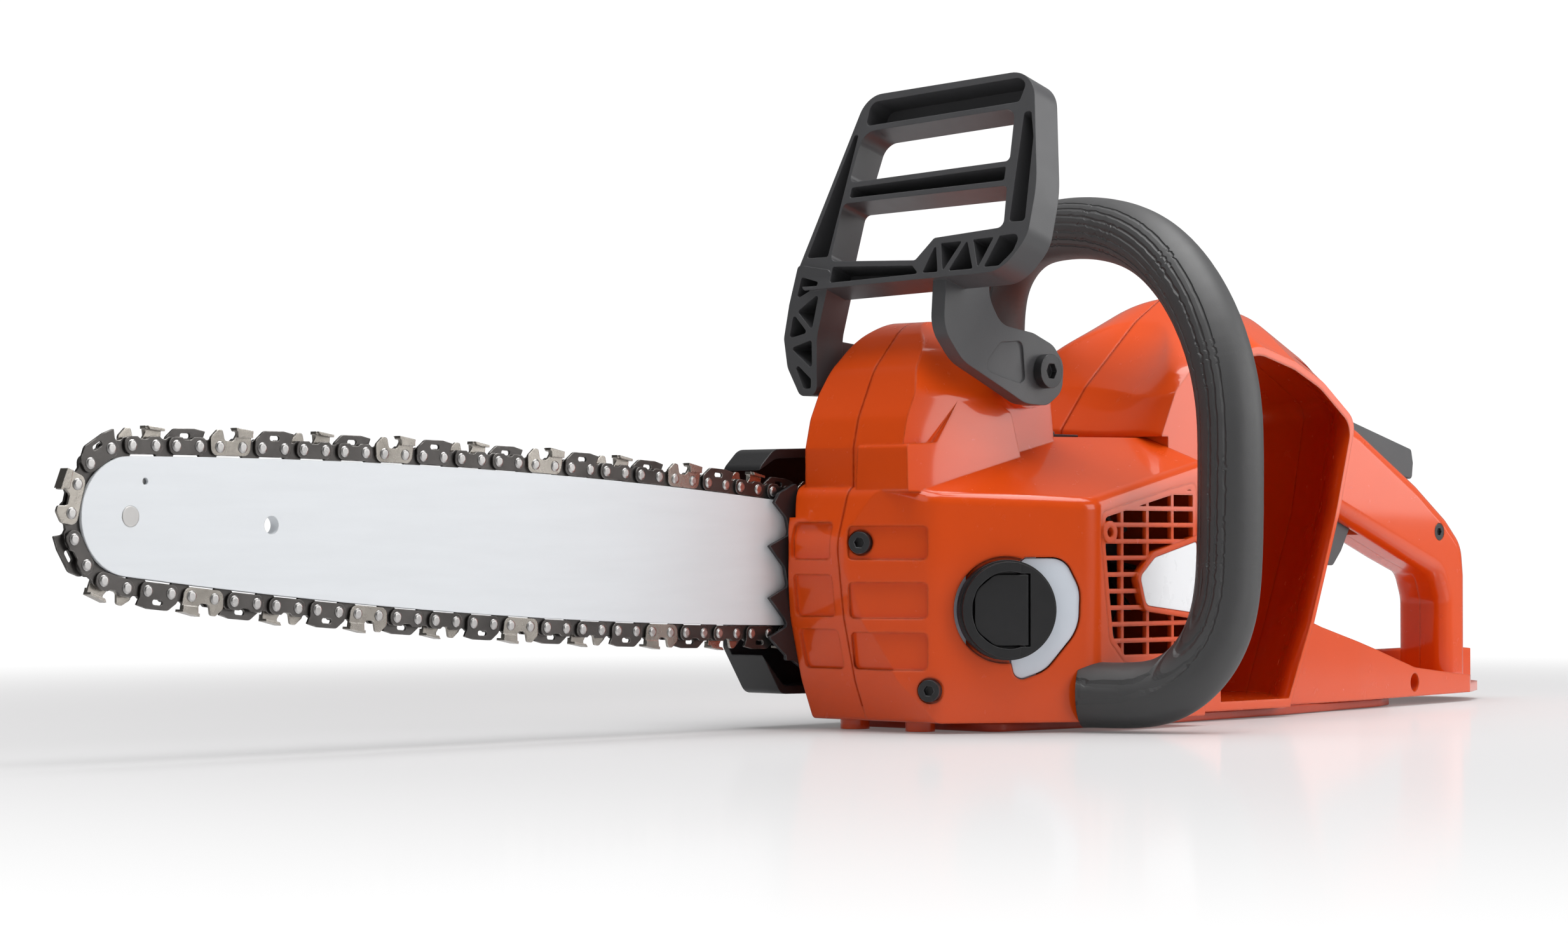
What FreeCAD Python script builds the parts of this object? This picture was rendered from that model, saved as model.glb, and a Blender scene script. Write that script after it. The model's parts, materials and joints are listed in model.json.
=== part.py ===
import FreeCAD, Part
import Sketcher
import math
import os
from FreeCAD import Placement, Rotation, Vector

# Battery chainsaw with a 14 inch bar. Millimetres, +Z up. The origin is on the ground under the
# powerhead; the bar and chain point toward -X, the rear handle toward +X, the oil cap and battery
# bay face -Y, and the bar lies at +Y.

os.makedirs("parts", exist_ok=True)
doc = FreeCAD.newDocument("chainsaw")
sheet = doc.addObject("Spreadsheet::Sheet", "Dims")

DIMENSIONS = [
    # guide bar and chain
    ("nose_x", -520.0), ("nose_z", 84.77), ("bar_y", 40.0), ("bar_tilt", 3.01),
    ("pitch_mean", 9.525), ("strap_pitch", 10.15), ("nose_wrap_r", 24.4), ("chain_belly", 30.78),
    ("belly_at", 208.0), ("first_rivet", 38.03), ("link_count", 52.0), ("rail_drop", 3.4),
    ("nose_drop", 0.4), ("bar_thick", 4.4), ("bar_groove", 1.5), ("groove_depth", 6.4), ("bar_tail", 402.0),
    ("drive_link_thick", 1.28), ("strap_thick", 1.05), ("strap_gap", 0.05), ("link_end_r", 3.1),
    ("rivet_r", 1.55), ("rivet_hole_r", 1.6), ("rivet_head_r", 2.05), ("rivet_head_len", 0.65),
    ("tang_depth", 8.4), ("rim_teeth", 6.0), ("nose_teeth", 8.0), ("sprocket_wide", 8.0),
    ("nose_sprocket_thick", 1.2), ("nose_bore_r", 9.1), ("nose_race_r", 7.0), ("nose_roller_r", 1.0),
    ("nose_rivet_r", 3.6), ("bar_lube_r", 1.2), ("bar_hole_r", 3.2), ("bar_pin_r", 2.6),
    # drive train
    ("drive_x", -94.0), ("shaft_r", 5.0), ("motor_r", 39.0), ("stator_len", 26.0),
    ("rotor_r", 23.0), ("air_gap", 0.6), ("drum_r", 30.0), ("drum_wide", 13.0), ("band_thick", 1.0),
    ("fan_r", 33.0), ("fan_wide", 11.0), ("fan_blades", 11.0),
    # casings
    ("split_y", 5.0), ("wall", 2.6), ("left_y", -69.0), ("right_y", 34.0), ("cover_y", 66.0),
    ("bay_y", -50.0), ("rear_right_y", 44.0), ("handle_half", 17.0),
    # controls
    ("guard_x", -110.0), ("guard_z", 146.0), ("guard_depth", 15.0), ("guard_rib", 2.2),
    ("cap_r", 20.0), ("loop_r", 13.2), ("loop_core_r", 9.5),
    ("trigger_wide", 13.0), ("lockout_wide", 17.0), ("pin_r", 2.0), ("pin_fit", 0.05),
    ("screw_head_r", 4.4), ("bolt_head_r", 7.0), ("stud_r", 4.0),
    ("deck_z", 120.0), ("button_r", 5.0), ("base_thick", 3.9),
]
for row, (alias, value) in enumerate(DIMENSIONS, start=1):
    sheet.set("A%d" % row, alias)
    sheet.set("B%d" % row, repr(value))
    sheet.setAlias("B%d" % row, alias)
doc.recompute()


def dim(alias):
    """Value of one driving dimension."""
    return float(sheet.get(alias))


X, Y, Z = Vector(1, 0, 0), Vector(0, 1, 0), Vector(0, 0, 1)
SPLIT = dim("split_y")
BAR_Y = dim("bar_y")
WALL = dim("wall")
BAR_FRAME = Placement(Vector(dim("nose_x"), BAR_Y, dim("nose_z")), Rotation(Y, dim("bar_tilt")))
STAND = Placement(Vector(), Rotation(X, 90))      # flat XY work stood up: x stays x, y becomes z


# ---------------------------------------------------------------- outlines and solids

def rounded(points):
    """Closed outline from (x, y) or (x, y, corner radius) points, as a list of edges' curves."""
    count = len(points)
    starts, ends, mids = [], [], []
    for i in range(count):
        here = Vector(points[i][0], points[i][1], 0)
        before = Vector(points[i - 1][0], points[i - 1][1], 0)
        after = Vector(points[(i + 1) % count][0], points[(i + 1) % count][1], 0)
        radius = points[i][2] if len(points[i]) > 2 else 0.0
        to_before = (before - here).normalize()
        to_after = (after - here).normalize()
        half = to_before.getAngle(to_after) / 2
        if radius <= 0 or abs(half - math.pi / 2) < 1e-4:
            starts.append(here)
            ends.append(here)
            mids.append(None)
            continue
        reach = min(radius / math.tan(half), 0.49 * (before - here).Length, 0.49 * (after - here).Length)
        radius = reach * math.tan(half)
        centre = here + (to_before + to_after).normalize() * (radius / math.sin(half))
        starts.append(here + to_before * reach)
        ends.append(here + to_after * reach)
        mids.append(centre + (here - centre).normalize() * radius)
    curves = []
    for i in range(count):
        if mids[i] is not None:
            curves.append(Part.Arc(starts[i], mids[i], ends[i]))
        following = starts[(i + 1) % count]
        if (following - ends[i]).Length > 1e-6:
            curves.append(Part.LineSegment(ends[i], following))
    return curves


def wire_of(points):
    """Closed wire in the XY plane from outline points."""
    return Part.Wire([curve.toShape() for curve in rounded(points)])


def slab(points, low, high):
    """Outline in the XY plane raised between two heights."""
    solid = Part.Face(wire_of(points)).extrude(Vector(0, 0, high - low))
    solid.translate(Vector(0, 0, low))
    return solid


def side_slab(points, y_low, y_high):
    """Outline of (x, z) points spread along Y from y_low to y_high."""
    solid = slab(points, -y_high, -y_low)
    solid.Placement = STAND.multiply(solid.Placement)
    return solid


def end_slab(points, x_low, x_high):
    """Outline of (y, z) points spread along X from x_low to x_high."""
    solid = slab(points, x_low, x_high)
    turn = Rotation(Vector(0, 1, 0), Vector(0, 0, 1), Vector(1, 0, 0), "XYZ")
    solid.Placement = Placement(Vector(), turn).multiply(solid.Placement)
    return solid


def box(x0, x1, y0, y1, z0, z1):
    """Axis-aligned block between two corners."""
    return Part.makeBox(x1 - x0, y1 - y0, z1 - z0, Vector(x0, y0, z0))


def rod(x, y0, y1, z, radius):
    """Round bar along Y."""
    return Part.makeCylinder(radius, y1 - y0, Vector(x, y0, z), Y)


def tube(x, y0, y1, z, outer, inner):
    """Round tube along Y."""
    return rod(x, y0, y1, z, outer).cut(rod(x, y0, y1, z, inner))


def fused(shapes):
    """One solid from shapes that touch or overlap."""
    whole = shapes[0].multiFuse(shapes[1:]) if len(shapes) > 1 else shapes[0]
    return whole.removeSplitter()


def hex_socket(centre, direction, head_r, head_len, shank_r, shank_len):
    """Socket-head screw; direction points from the head toward the shank's tip."""
    head = Part.makeCylinder(head_r, head_len, centre, direction)
    shank = Part.makeCylinder(shank_r, shank_len, centre + direction * head_len, direction)
    key = [Vector(head_r * 0.5 * math.cos(math.radians(60 * i)),
                  head_r * 0.5 * math.sin(math.radians(60 * i)), 0) for i in range(7)]
    socket = Part.Face(Part.makePolygon(key)).extrude(Vector(0, 0, head_len * 0.65))
    socket.Placement = Placement(centre, Rotation(Z, direction))
    return head.fuse(shank).removeSplitter().cut(socket)


# ---------------------------------------------------------------- document objects

def feature(label, shape, place=None):
    """Sub-part held as a plain shape."""
    part = doc.addObject("Part::Feature", label)
    part.Label = label
    part.Shape = shape
    part.Placement = place if place else shape.Placement
    return part


def group(label, solids):
    """Sub-part made of several identical or matching solids."""
    return feature(label, Part.makeCompound(solids))


def origin_plane(body, role):
    """One of a body's own origin planes."""
    return [plane for plane in body.Origin.OriginFeatures if plane.Role == role][0]


def sketch(body, name, loops, circles=()):
    """Sketch on the body's XY plane; circles are (x, y, radius alias)."""
    drawing = body.newObject("Sketcher::SketchObject", name)
    drawing.AttachmentSupport = [(origin_plane(body, "XY_Plane"), "")]
    drawing.MapMode = "FlatFace"
    for loop in loops:
        curves = rounded(loop) if isinstance(loop[0], tuple) else loop
        drawing.addGeometry(curves, False)
    for number, (cx, cy, alias) in enumerate(circles):
        index = drawing.addGeometry(Part.Circle(Vector(cx, cy, 0), Z, dim(alias)), False)
        drawing.addConstraint(Sketcher.Constraint("Radius", index, dim(alias)))
        drawing.renameConstraint(drawing.ConstraintCount - 1, "radius_%d" % number)
        drawing.setExpression("Constraints.radius_%d" % number, "Dims." + alias)
    return drawing


def plate(label, loops, thickness, place, circles=(), stood=True):
    """Flat body: its outline is drawn in XY and padded evenly to both sides."""
    body = doc.addObject("PartDesign::Body", label)
    body.Label = label
    drawing = sketch(body, label + "_outline", loops, circles)
    pad = body.newObject("PartDesign::Pad", label + "_pad")
    pad.Profile = drawing
    pad.setExpression("Length", thickness)
    pad.SideType = "Symmetric"
    body.Placement = place.multiply(STAND) if stood else place
    return body


def pocket(body, name, loops, depth, circles=()):
    """Cut into a plate, evenly to both sides of its middle plane."""
    drawing = sketch(body, name + "_outline", loops, circles)
    cut = body.newObject("PartDesign::Pocket", name)
    cut.Profile = drawing
    cut.setExpression("Length", depth)
    cut.SideType = "Symmetric"
    return cut


# ---------------------------------------------------------------- the chain's path
# Worked in the bar frame: a runs from the nose centre toward the tail, b across the bar.

NOSE_R = dim("nose_wrap_r")
BELLY = dim("chain_belly")
BELLY_AT = dim("belly_at")
FLANK_R = (BELLY_AT ** 2 + BELLY ** 2 - NOSE_R ** 2) / (2 * (BELLY - NOSE_R))
FLANK_CENTRE = Vector(BELLY_AT, BELLY - FLANK_R, 0)
RIVETS = int(dim("link_count")) * 2
STRAP_PITCH = dim("strap_pitch")
TANG_PITCH = 2 * dim("pitch_mean") - STRAP_PITCH - 0.005
WRAP_R = dim("pitch_mean") / (2 * math.sin(math.pi / (2 * dim("rim_teeth"))))


def chain_pieces(centre_a):
    """Upper half of the loop, nose to sprocket, as (length, point function) pieces."""
    start = math.atan2(-FLANK_CENTRE.y, -FLANK_CENTRE.x)
    end = math.pi / 2 - math.asin((dim("bar_tail") - BELLY_AT) / FLANK_R)
    tail = FLANK_CENTRE + Vector(math.cos(end), math.sin(end), 0) * FLANK_R
    gap = Vector(centre_a, 0, 0) - tail
    away = math.sqrt(gap.Length ** 2 - WRAP_R ** 2)
    lean = math.atan2(gap.y, gap.x) + math.asin(WRAP_R / gap.Length)
    touch = tail + Vector(math.cos(lean), math.sin(lean), 0) * away
    wrap = math.atan2(touch.y, touch.x - centre_a)

    def nose(s):
        angle = math.pi - s / NOSE_R
        return Vector(NOSE_R * math.cos(angle), NOSE_R * math.sin(angle), 0)

    def flank(s):
        angle = start - s / FLANK_R
        return FLANK_CENTRE + Vector(math.cos(angle), math.sin(angle), 0) * FLANK_R

    def span(s):
        return tail + (touch - tail).normalize() * s

    def rim(s):
        angle = wrap - s / WRAP_R
        return Vector(centre_a + WRAP_R * math.cos(angle), WRAP_R * math.sin(angle), 0)

    return [((math.pi - start) * NOSE_R, nose), ((start - end) * FLANK_R, flank), (away, span),
            (wrap * WRAP_R, rim)]


def chain_point(pieces, s):
    """Point at arc length s from the foremost point, going over the top; the lower run mirrors it."""
    half = sum(length for length, _ in pieces)
    s = s % (2 * half)
    below = s > half
    if below:
        s = 2 * half - s
    for length, place in pieces:
        if s <= length:
            break
        s -= length
    point = place(min(s, length))
    return Vector(point.x, -point.y, 0) if below else point


def walk(pieces):
    """Rivet centres around the loop and the path length they used."""
    s = dim("first_rivet")
    points = [chain_point(pieces, s)]
    for i in range(RIVETS):
        step = STRAP_PITCH if i % 2 == 0 else TANG_PITCH
        low, high = s + step * 0.999, s + step * 1.03
        for _ in range(40):
            middle = (low + high) / 2
            if (chain_point(pieces, middle) - points[-1]).Length < step:
                low = middle
            else:
                high = middle
        s = high
        points.append(chain_point(pieces, s))
    return points[:-1], s - dim("first_rivet")


def solve_chain():
    """Sprocket centre that makes the loop hold a whole number of links."""
    low, high = dim("bar_tail") + 19.0, dim("bar_tail") + 45.0
    for _ in range(40):
        middle = (low + high) / 2
        pieces = chain_pieces(middle)
        total = 2 * sum(length for length, _ in pieces)
        if walk(pieces)[1] > total:
            low = middle
        else:
            high = middle
    return high, walk(chain_pieces(high))[0]


SPROCKET_A, RIVET_POINTS = solve_chain()
SPROCKET = BAR_FRAME.multVec(Vector(SPROCKET_A, 0, 0))
DRIVE_X, DRIVE_Z = SPROCKET.x, SPROCKET.z

# ---------------------------------------------------------------- guide bar

TAIL_A = dim("bar_tail")
STUD_A = (352.0, 380.0)


def flank_point(a, inset):
    """Point of the upper flank, moved inward by inset."""
    radius = FLANK_R - inset
    return Vector(a, FLANK_CENTRE.y + math.sqrt(radius ** 2 - (a - BELLY_AT) ** 2), 0)


def mirrored(point):
    """The same point on the lower flank."""
    return Vector(point.x, -point.y, 0)


def bar_loop(inset, tail_a, corner):
    """Bar outline, inset from the rivet line, as curves."""
    angle = math.atan2(-FLANK_CENTRE.y, -FLANK_CENTRE.x)
    nose_r = NOSE_R - inset - dim("nose_drop")
    top = Vector(nose_r * math.cos(angle), nose_r * math.sin(angle), 0)
    tail = flank_point(tail_a - corner, inset)
    edge = Vector(tail_a, tail.y - corner, 0)
    turn = Vector(tail_a - corner * 0.293, tail.y - corner * 0.293, 0)
    belly = flank_point(BELLY_AT, inset)
    return [Part.Arc(mirrored(top), Vector(-nose_r, 0, 0), top),
            Part.Arc(top, belly, tail), Part.Arc(tail, turn, edge),
            Part.LineSegment(edge, mirrored(edge)),
            Part.Arc(mirrored(edge), mirrored(turn), mirrored(tail)),
            Part.Arc(mirrored(tail), mirrored(belly), mirrored(top))]


def slot_loop(a0, a1, radius):
    """Slot along the bar between two end centres."""
    return [(a0 - radius, -radius, radius * 0.999), (a1 + radius, -radius, radius * 0.999),
            (a1 + radius, radius, radius * 0.999), (a0 - radius, radius, radius * 0.999)]


def guide_bar():
    """Laminated bar: outline, chain groove, nose cavity, stud slot and holes."""
    rail = dim("rail_drop")
    bar = plate("guide_bar", [bar_loop(rail, TAIL_A, 9.0)], "Dims.bar_thick", BAR_FRAME)
    inner = bar_loop(rail + dim("groove_depth"), TAIL_A - 6.0, 5.0)
    outer = bar_loop(rail - 3.0, TAIL_A + 3.0, 9.0)
    pocket(bar, "bar_groove_cut", [outer, inner], "Dims.bar_groove")
    pocket(bar, "bar_nose_cavity", [], "Dims.bar_groove", [(0.0, 0.0, "nose_wrap_r")])
    holes = [(0.0, 0.0, "nose_rivet_r"), (5.6, 12.4, "bar_lube_r"), (62.0, 0.5, "bar_hole_r"),
             (366.0, 15.5, "bar_pin_r"), (366.0, -15.5, "bar_pin_r")]
    pocket(bar, "bar_holes", [slot_loop(STUD_A[0] - 6, STUD_A[1] + 6, dim("stud_r") + 0.2)],
           "Dims.bar_thick * 2", holes)


def star(teeth, root_r, tip_r, root_half, tip_half, phase):
    """Toothed wheel outline, with a gap centred on the phase angle (radians)."""
    points = []
    for i in range(teeth):
        angle = phase + (i + 0.5) * 2 * math.pi / teeth
        out = Vector(math.cos(angle), math.sin(angle), 0)
        across = Vector(-math.sin(angle), math.cos(angle), 0)
        for reach, half, side, radius in ((root_r, root_half, -1, 0.8), (tip_r, tip_half, -1, 0.9),
                                          (tip_r, tip_half, 1, 0.9), (root_r, root_half, 1, 0.8)):
            point = out * reach + across * (half * side)
            points.append((point.x, point.y, radius))
    return points


def tang_angle(centre_a):
    """Direction from a wheel's centre to the drive link nearest its outer side."""
    side = 1 if centre_a > 0 else -1
    target = Vector(centre_a + side * NOSE_R, 0, 0)
    middles = [(RIVET_POINTS[i] + RIVET_POINTS[(i + 1) % RIVETS]) * 0.5 for i in range(1, RIVETS, 2)]
    nearest = min(middles, key=lambda point: (point - target).Length)
    return math.atan2(nearest.y, nearest.x - centre_a)


def nose_wheel():
    """Nose sprocket, its bearing (race and rollers) and rivet."""
    teeth = int(dim("nose_teeth"))
    outline = star(teeth, 15.2, 20.4, 3.9, 2.4, tang_angle(0.0))
    plate("nose_sprocket", [outline], "Dims.nose_sprocket_thick", BAR_FRAME,
          [(0.0, 0.0, "nose_bore_r")])
    pitch_r = dim("nose_race_r") + 0.03 + dim("nose_roller_r")
    race = Part.makeCylinder(dim("nose_race_r"), 1.2, Vector(0, 0, -0.6))
    race = race.cut(Part.makeCylinder(dim("nose_rivet_r"), 2, Vector(0, 0, -1)))
    race.Placement = BAR_FRAME.multiply(STAND)
    rollers = [race]
    for i in range(18):
        angle = math.radians(20 * i)
        roller = Part.makeCylinder(dim("nose_roller_r"), 1.2,
                                   Vector(pitch_r * math.cos(angle), pitch_r * math.sin(angle), -0.6))
        roller.Placement = BAR_FRAME.multiply(STAND).multiply(roller.Placement)
        rollers.append(roller)
    group("nose_bearing", rollers)
    plate("nose_rivet", [], "Dims.bar_thick + 0.3", BAR_FRAME, [(0.0, 0.0, "nose_rivet_r")])


# ---------------------------------------------------------------- chain
# Links are drawn with u along the link, v outward from the loop and w toward the saw's left side.

HALF_STRAP = STRAP_PITCH / 2
CHAIN_PHASE = 1
HALF_TANG = TANG_PITCH / 2
END_R = dim("link_end_r")
STRAP_IN = dim("drive_link_thick") / 2 + dim("strap_gap")
STRAP_OUT = STRAP_IN + dim("strap_thick")


def holes_at(half):
    """Rivet holes of a link."""
    return [Part.makeCylinder(dim("rivet_hole_r"), 12, Vector(side * half, 0, -6)) for side in (-1, 1)]


def drive_link():
    """Centre link with its tang in the bar groove."""
    reach = HALF_TANG + END_R
    outline = [(-reach, -END_R, 2.9), (-3.9, -END_R, 0.6), (-3.3, -4.6, 1.0), (-0.6, -dim("tang_depth"), 0.8),
               (1.3, -dim("tang_depth"), 0.6), (1.6, -6.2, 1.0), (3.6, -4.2, 0.8), (3.9, -END_R, 0.6),
               (reach, -END_R, 2.9), (reach, END_R, 2.9), (1.8, END_R, 1.0), (0.9, END_R - 0.8, 0.6),
               (-0.9, END_R - 0.8, 0.6), (-1.8, END_R, 1.0), (-reach, END_R, 2.9)]
    half = dim("drive_link_thick") / 2
    return slab(outline, -half, half).cut(Part.makeCompound(holes_at(HALF_TANG)))


def tie_strap():
    """Plain side link."""
    reach = HALF_STRAP + END_R
    outline = [(-reach, -END_R, 3.0), (reach, -END_R, 3.0), (reach, END_R, 3.0), (2.6, END_R, 0.8),
               (1.5, 2.2, 0.8), (-1.5, 2.2, 0.8), (-2.6, END_R, 0.8), (-reach, END_R, 3.0)]
    return slab(outline, STRAP_IN, STRAP_OUT).cut(Part.makeCompound(holes_at(HALF_STRAP)))


def bumper_strap():
    """Side link with a raised ramp and a slot."""
    reach = HALF_STRAP + END_R
    outline = [(-reach, -END_R, 3.0), (reach, -END_R, 3.0), (reach, 2.4, 1.0), (9.4, 5.3, 0.3),
               (4.6, 6.2, 1.0), (-4.2, 6.1, 2.4), (-reach, 2.8, 2.4)]
    slot = slab([(-1.7, 2.7, 0.85), (2.7, 2.7, 0.85), (2.7, 4.5, 0.85), (-1.7, 4.5, 0.85)], 0, 6)
    strap = slab(outline, STRAP_IN, STRAP_OUT)
    return strap.cut(Part.makeCompound(holes_at(HALF_STRAP) + [slot]))


def cutter():
    """Cutting link: depth gauge in front, gullet, then the side and top plates of the tooth."""
    reach = HALF_STRAP + END_R
    outline = [(-reach - 0.5, -END_R, 2.8), (reach, -END_R, 3.0), (9.0, 4.2, 0.5), (9.0, 5.8, 0.3),
               (1.9, 6.7, 0.3), (2.5, 4.6, 0.8), (0.9, 2.1, 1.4), (-2.9, 2.1, 1.2), (-3.9, 5.9, 1.0),
               (-6.0, 6.1, 1.2), (-9.2, 3.2, 1.8)]
    side = slab(outline, STRAP_IN, STRAP_OUT)
    flare = slab([(2.5, 3.4), (9.0, 3.4), (9.0, 5.8), (2.1, 6.6)], STRAP_OUT - 0.2, STRAP_OUT + 0.95)
    top = slab([(1.6, 5.75), (9.1, 4.95), (9.1, 5.85), (1.6, 6.85)], -1.5, STRAP_OUT + 0.95)
    trim = slab([(0.5, 4.0), (4.2, 4.0), (1.0, 8.0), (0.5, 8.0)], -2.0, -0.4)
    tooth = fused([side, flare, top]).cut(trim)
    return tooth.cut(Part.makeCompound(holes_at(HALF_STRAP)))


def rivet():
    """Chain rivet with a domed head on each end."""
    head_r = dim("rivet_head_r")
    head_len = dim("rivet_head_len")
    profile = [Vector(0, 0, -STRAP_OUT - head_len), Vector(head_r * 0.62, 0, -STRAP_OUT - head_len),
               Vector(head_r, 0, -STRAP_OUT - head_len * 0.35), Vector(head_r, 0, -STRAP_OUT),
               Vector(dim("rivet_r"), 0, -STRAP_OUT), Vector(dim("rivet_r"), 0, STRAP_OUT),
               Vector(head_r, 0, STRAP_OUT), Vector(head_r, 0, STRAP_OUT + head_len * 0.35),
               Vector(head_r * 0.62, 0, STRAP_OUT + head_len), Vector(0, 0, STRAP_OUT + head_len)]
    return Part.Face(Part.makePolygon(profile + profile[:1])).revolve(Vector(), Z, 360)


def mirrored_link(link):
    """The same link for the other side of the chain."""
    return link.mirror(Vector(), Z)


def placed_link(link, first, second):
    """Link moved so that it spans two rivets."""
    middle = (first + second) * 0.5
    angle = math.degrees(math.atan2(second.y - first.y, second.x - first.x))
    copy = link.copy()
    copy.Placement = BAR_FRAME.multiply(STAND).multiply(Placement(middle, Rotation(Z, angle)))
    return copy


def chain():
    """All chain links and rivets; side links repeat every fourth pair."""
    strap, bumper, tooth = tie_strap(), bumper_strap(), cutter()
    right_strap = mirrored_link(strap)
    pattern = [("chain_bumper_straps", bumper, "chain_tie_straps", right_strap),
               ("chain_tie_straps", strap, "chain_right_cutters", mirrored_link(tooth)),
               ("chain_tie_straps", strap, "chain_bumper_straps", mirrored_link(bumper)),
               ("chain_left_cutters", tooth, "chain_tie_straps", right_strap)]
    made = {}
    for i in range(0, RIVETS, 2):
        near_name, near, far_name, far = pattern[(i // 2 + CHAIN_PHASE) % len(pattern)]
        first, second = RIVET_POINTS[i], RIVET_POINTS[i + 1]
        made.setdefault(near_name, []).append(placed_link(near, first, second))
        made.setdefault(far_name, []).append(placed_link(far, first, second))
    link = drive_link()
    made["chain_drive_links"] = [placed_link(link, RIVET_POINTS[i], RIVET_POINTS[(i + 1) % RIVETS])
                                 for i in range(1, RIVETS, 2)]
    pin = rivet()
    made["chain_rivets"] = [placed_link(pin, point - X, point + X) for point in RIVET_POINTS]
    for name in sorted(made):
        group(name, made[name])

# ---------------------------------------------------------------- drive train, along Y

def turned(label, outline, x, z):
    """Body of revolution about a Y axis; outline is (radius, y) points."""
    body = doc.addObject("PartDesign::Body", label)
    body.Label = label
    drawing = sketch(body, label + "_outline", [outline])
    spin = body.newObject("PartDesign::Revolution", label + "_turn")
    spin.Profile = drawing
    spin.ReferenceAxis = (drawing, ["V_Axis"])
    spin.Angle = 360
    body.Placement = Placement(Vector(x, 0, z), Rotation())
    return body


def around(count, shape, x, z, phase=0.0):
    """Copies of a shape spread around a Y axis."""
    copies = []
    for i in range(count):
        copy = shape.copy()
        copy.rotate(Vector(x, 0, z), Y, phase + 360.0 * i / count)
        copies.append(copy)
    return copies


def motor():
    """Inner-rotor motor: stator, coils, rotor with its magnets, shaft, bearings and frame."""
    shaft_r = dim("shaft_r")
    motor_r = dim("motor_r")
    bore = dim("rotor_r") + dim("air_gap")
    y0 = -21.0
    y1 = y0 + dim("stator_len")
    core = tube(DRIVE_X, y0, y1, DRIVE_Z, motor_r, motor_r - 6)
    tooth = box(DRIVE_X - 3.2, DRIVE_X + 3.2, y0, y1, DRIVE_Z + bore, DRIVE_Z + motor_r - 5)
    tip = box(DRIVE_X - 6.6, DRIVE_X + 6.6, y0, y1, DRIVE_Z + bore - 1, DRIVE_Z + bore + 2.4)
    bore_rod = rod(DRIVE_X, y0 - 1, y1 + 1, DRIVE_Z, bore)
    stator = fused([core] + around(9, tooth.fuse(tip), DRIVE_X, DRIVE_Z)).cut(bore_rod)
    feature("motor_stator", stator)

    outer = box(DRIVE_X - 6.0, DRIVE_X + 6.0, y0 - 4.5, y1 + 4.5, DRIVE_Z + bore + 2.8,
                DRIVE_Z + motor_r - 6.9)
    inner = box(DRIVE_X - 3.4, DRIVE_X + 3.4, y0 - 0.2, y1 + 0.2, DRIVE_Z + bore, DRIVE_Z + motor_r)
    group("stator_coils", around(9, outer.cut(inner), DRIVE_X, DRIVE_Z))

    rotor = tube(DRIVE_X, y0 + 0.5, y1 - 0.5, DRIVE_Z, dim("rotor_r") - 2.6, shaft_r)
    vents = around(6, rod(DRIVE_X, y0, y1, DRIVE_Z + 13, 3.0), DRIVE_X, DRIVE_Z)
    feature("motor_rotor", rotor.cut(Part.makeCompound(vents)))
    ring = tube(DRIVE_X, y0 + 1, y1 - 1, DRIVE_Z, dim("rotor_r"), dim("rotor_r") - 2.6)
    wedge = box(DRIVE_X - 0.8, DRIVE_X + 0.8, y0, y1, DRIVE_Z, DRIVE_Z + 40)
    magnets = ring.cut(Part.makeCompound(around(8, wedge, DRIVE_X, DRIVE_Z)))
    group("rotor_magnets", magnets.Solids)

    shaft = doc.addObject("Part::Cylinder", "motor_shaft")
    shaft.Label = "motor_shaft"
    shaft.setExpression("Radius", "Dims.shaft_r")
    shaft.Height = 96.0
    shaft.Placement = Placement(Vector(DRIVE_X, 47.0, DRIVE_Z), Rotation(X, 90))

    fit = shaft_r + dim("pin_fit")
    group("motor_bearings", [tube(DRIVE_X, 6.2, 13.2, DRIVE_Z, 11.0, fit),
                             tube(DRIVE_X, -31.0, -25.6, DRIVE_Z, 10.0, fit)])
    cup = tube(DRIVE_X, -24.0, 14.3, DRIVE_Z, motor_r + 2.2, motor_r)
    disc = tube(DRIVE_X, 11.2, 14.3, DRIVE_Z, motor_r, 7.0)
    seat = tube(DRIVE_X, 6.4, 13.2, DRIVE_Z, 14.0, 11.0)
    front = fused([cup, disc.cut(rod(DRIVE_X, 11, 13.2, DRIVE_Z, 11.0)), seat])
    arm = box(DRIVE_X - 5, DRIVE_X + 5, -29.5, -26.2, DRIVE_Z + 11, DRIVE_Z + motor_r + 2.2)
    leg = box(DRIVE_X - 5, DRIVE_X + 5, -29.5, -24.0, DRIVE_Z + motor_r, DRIVE_Z + motor_r + 2.2)
    rear_seat = tube(DRIVE_X, -31.0, -26.2, DRIVE_Z, 13.0, 10.0)
    feature("motor_frame", fused([front, rear_seat] + around(3, arm.fuse(leg), DRIVE_X, DRIVE_Z, 60)))


def cooling_fan():
    """Radial fan on the shaft's left end: back plate, hub and curved-back blades."""
    fan_r = dim("fan_r")
    y1 = -34.0
    y0 = y1 - dim("fan_wide")
    back = tube(DRIVE_X, y1 - 1.8, y1, DRIVE_Z, fan_r, dim("shaft_r"))
    hub = tube(DRIVE_X, y0 - 1.0, y1, DRIVE_Z, 11.0, dim("shaft_r"))
    blade = box(DRIVE_X - 0.8, DRIVE_X + 0.8, y0, y1, DRIVE_Z + 14.5, DRIVE_Z + fan_r - 0.4)
    blade.rotate(Vector(DRIVE_X, 0, DRIVE_Z + 14.5), Y, 34)
    blade = blade.common(rod(DRIVE_X, y0, y1, DRIVE_Z, fan_r))
    spokes = box(DRIVE_X - 0.8, DRIVE_X + 0.8, y1 - 4, y1, DRIVE_Z + 10, DRIVE_Z + 16)
    blades = around(int(dim("fan_blades")), blade.fuse(spokes), DRIVE_X, DRIVE_Z)
    feature("cooling_fan", fused([back, hub] + blades))


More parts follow.
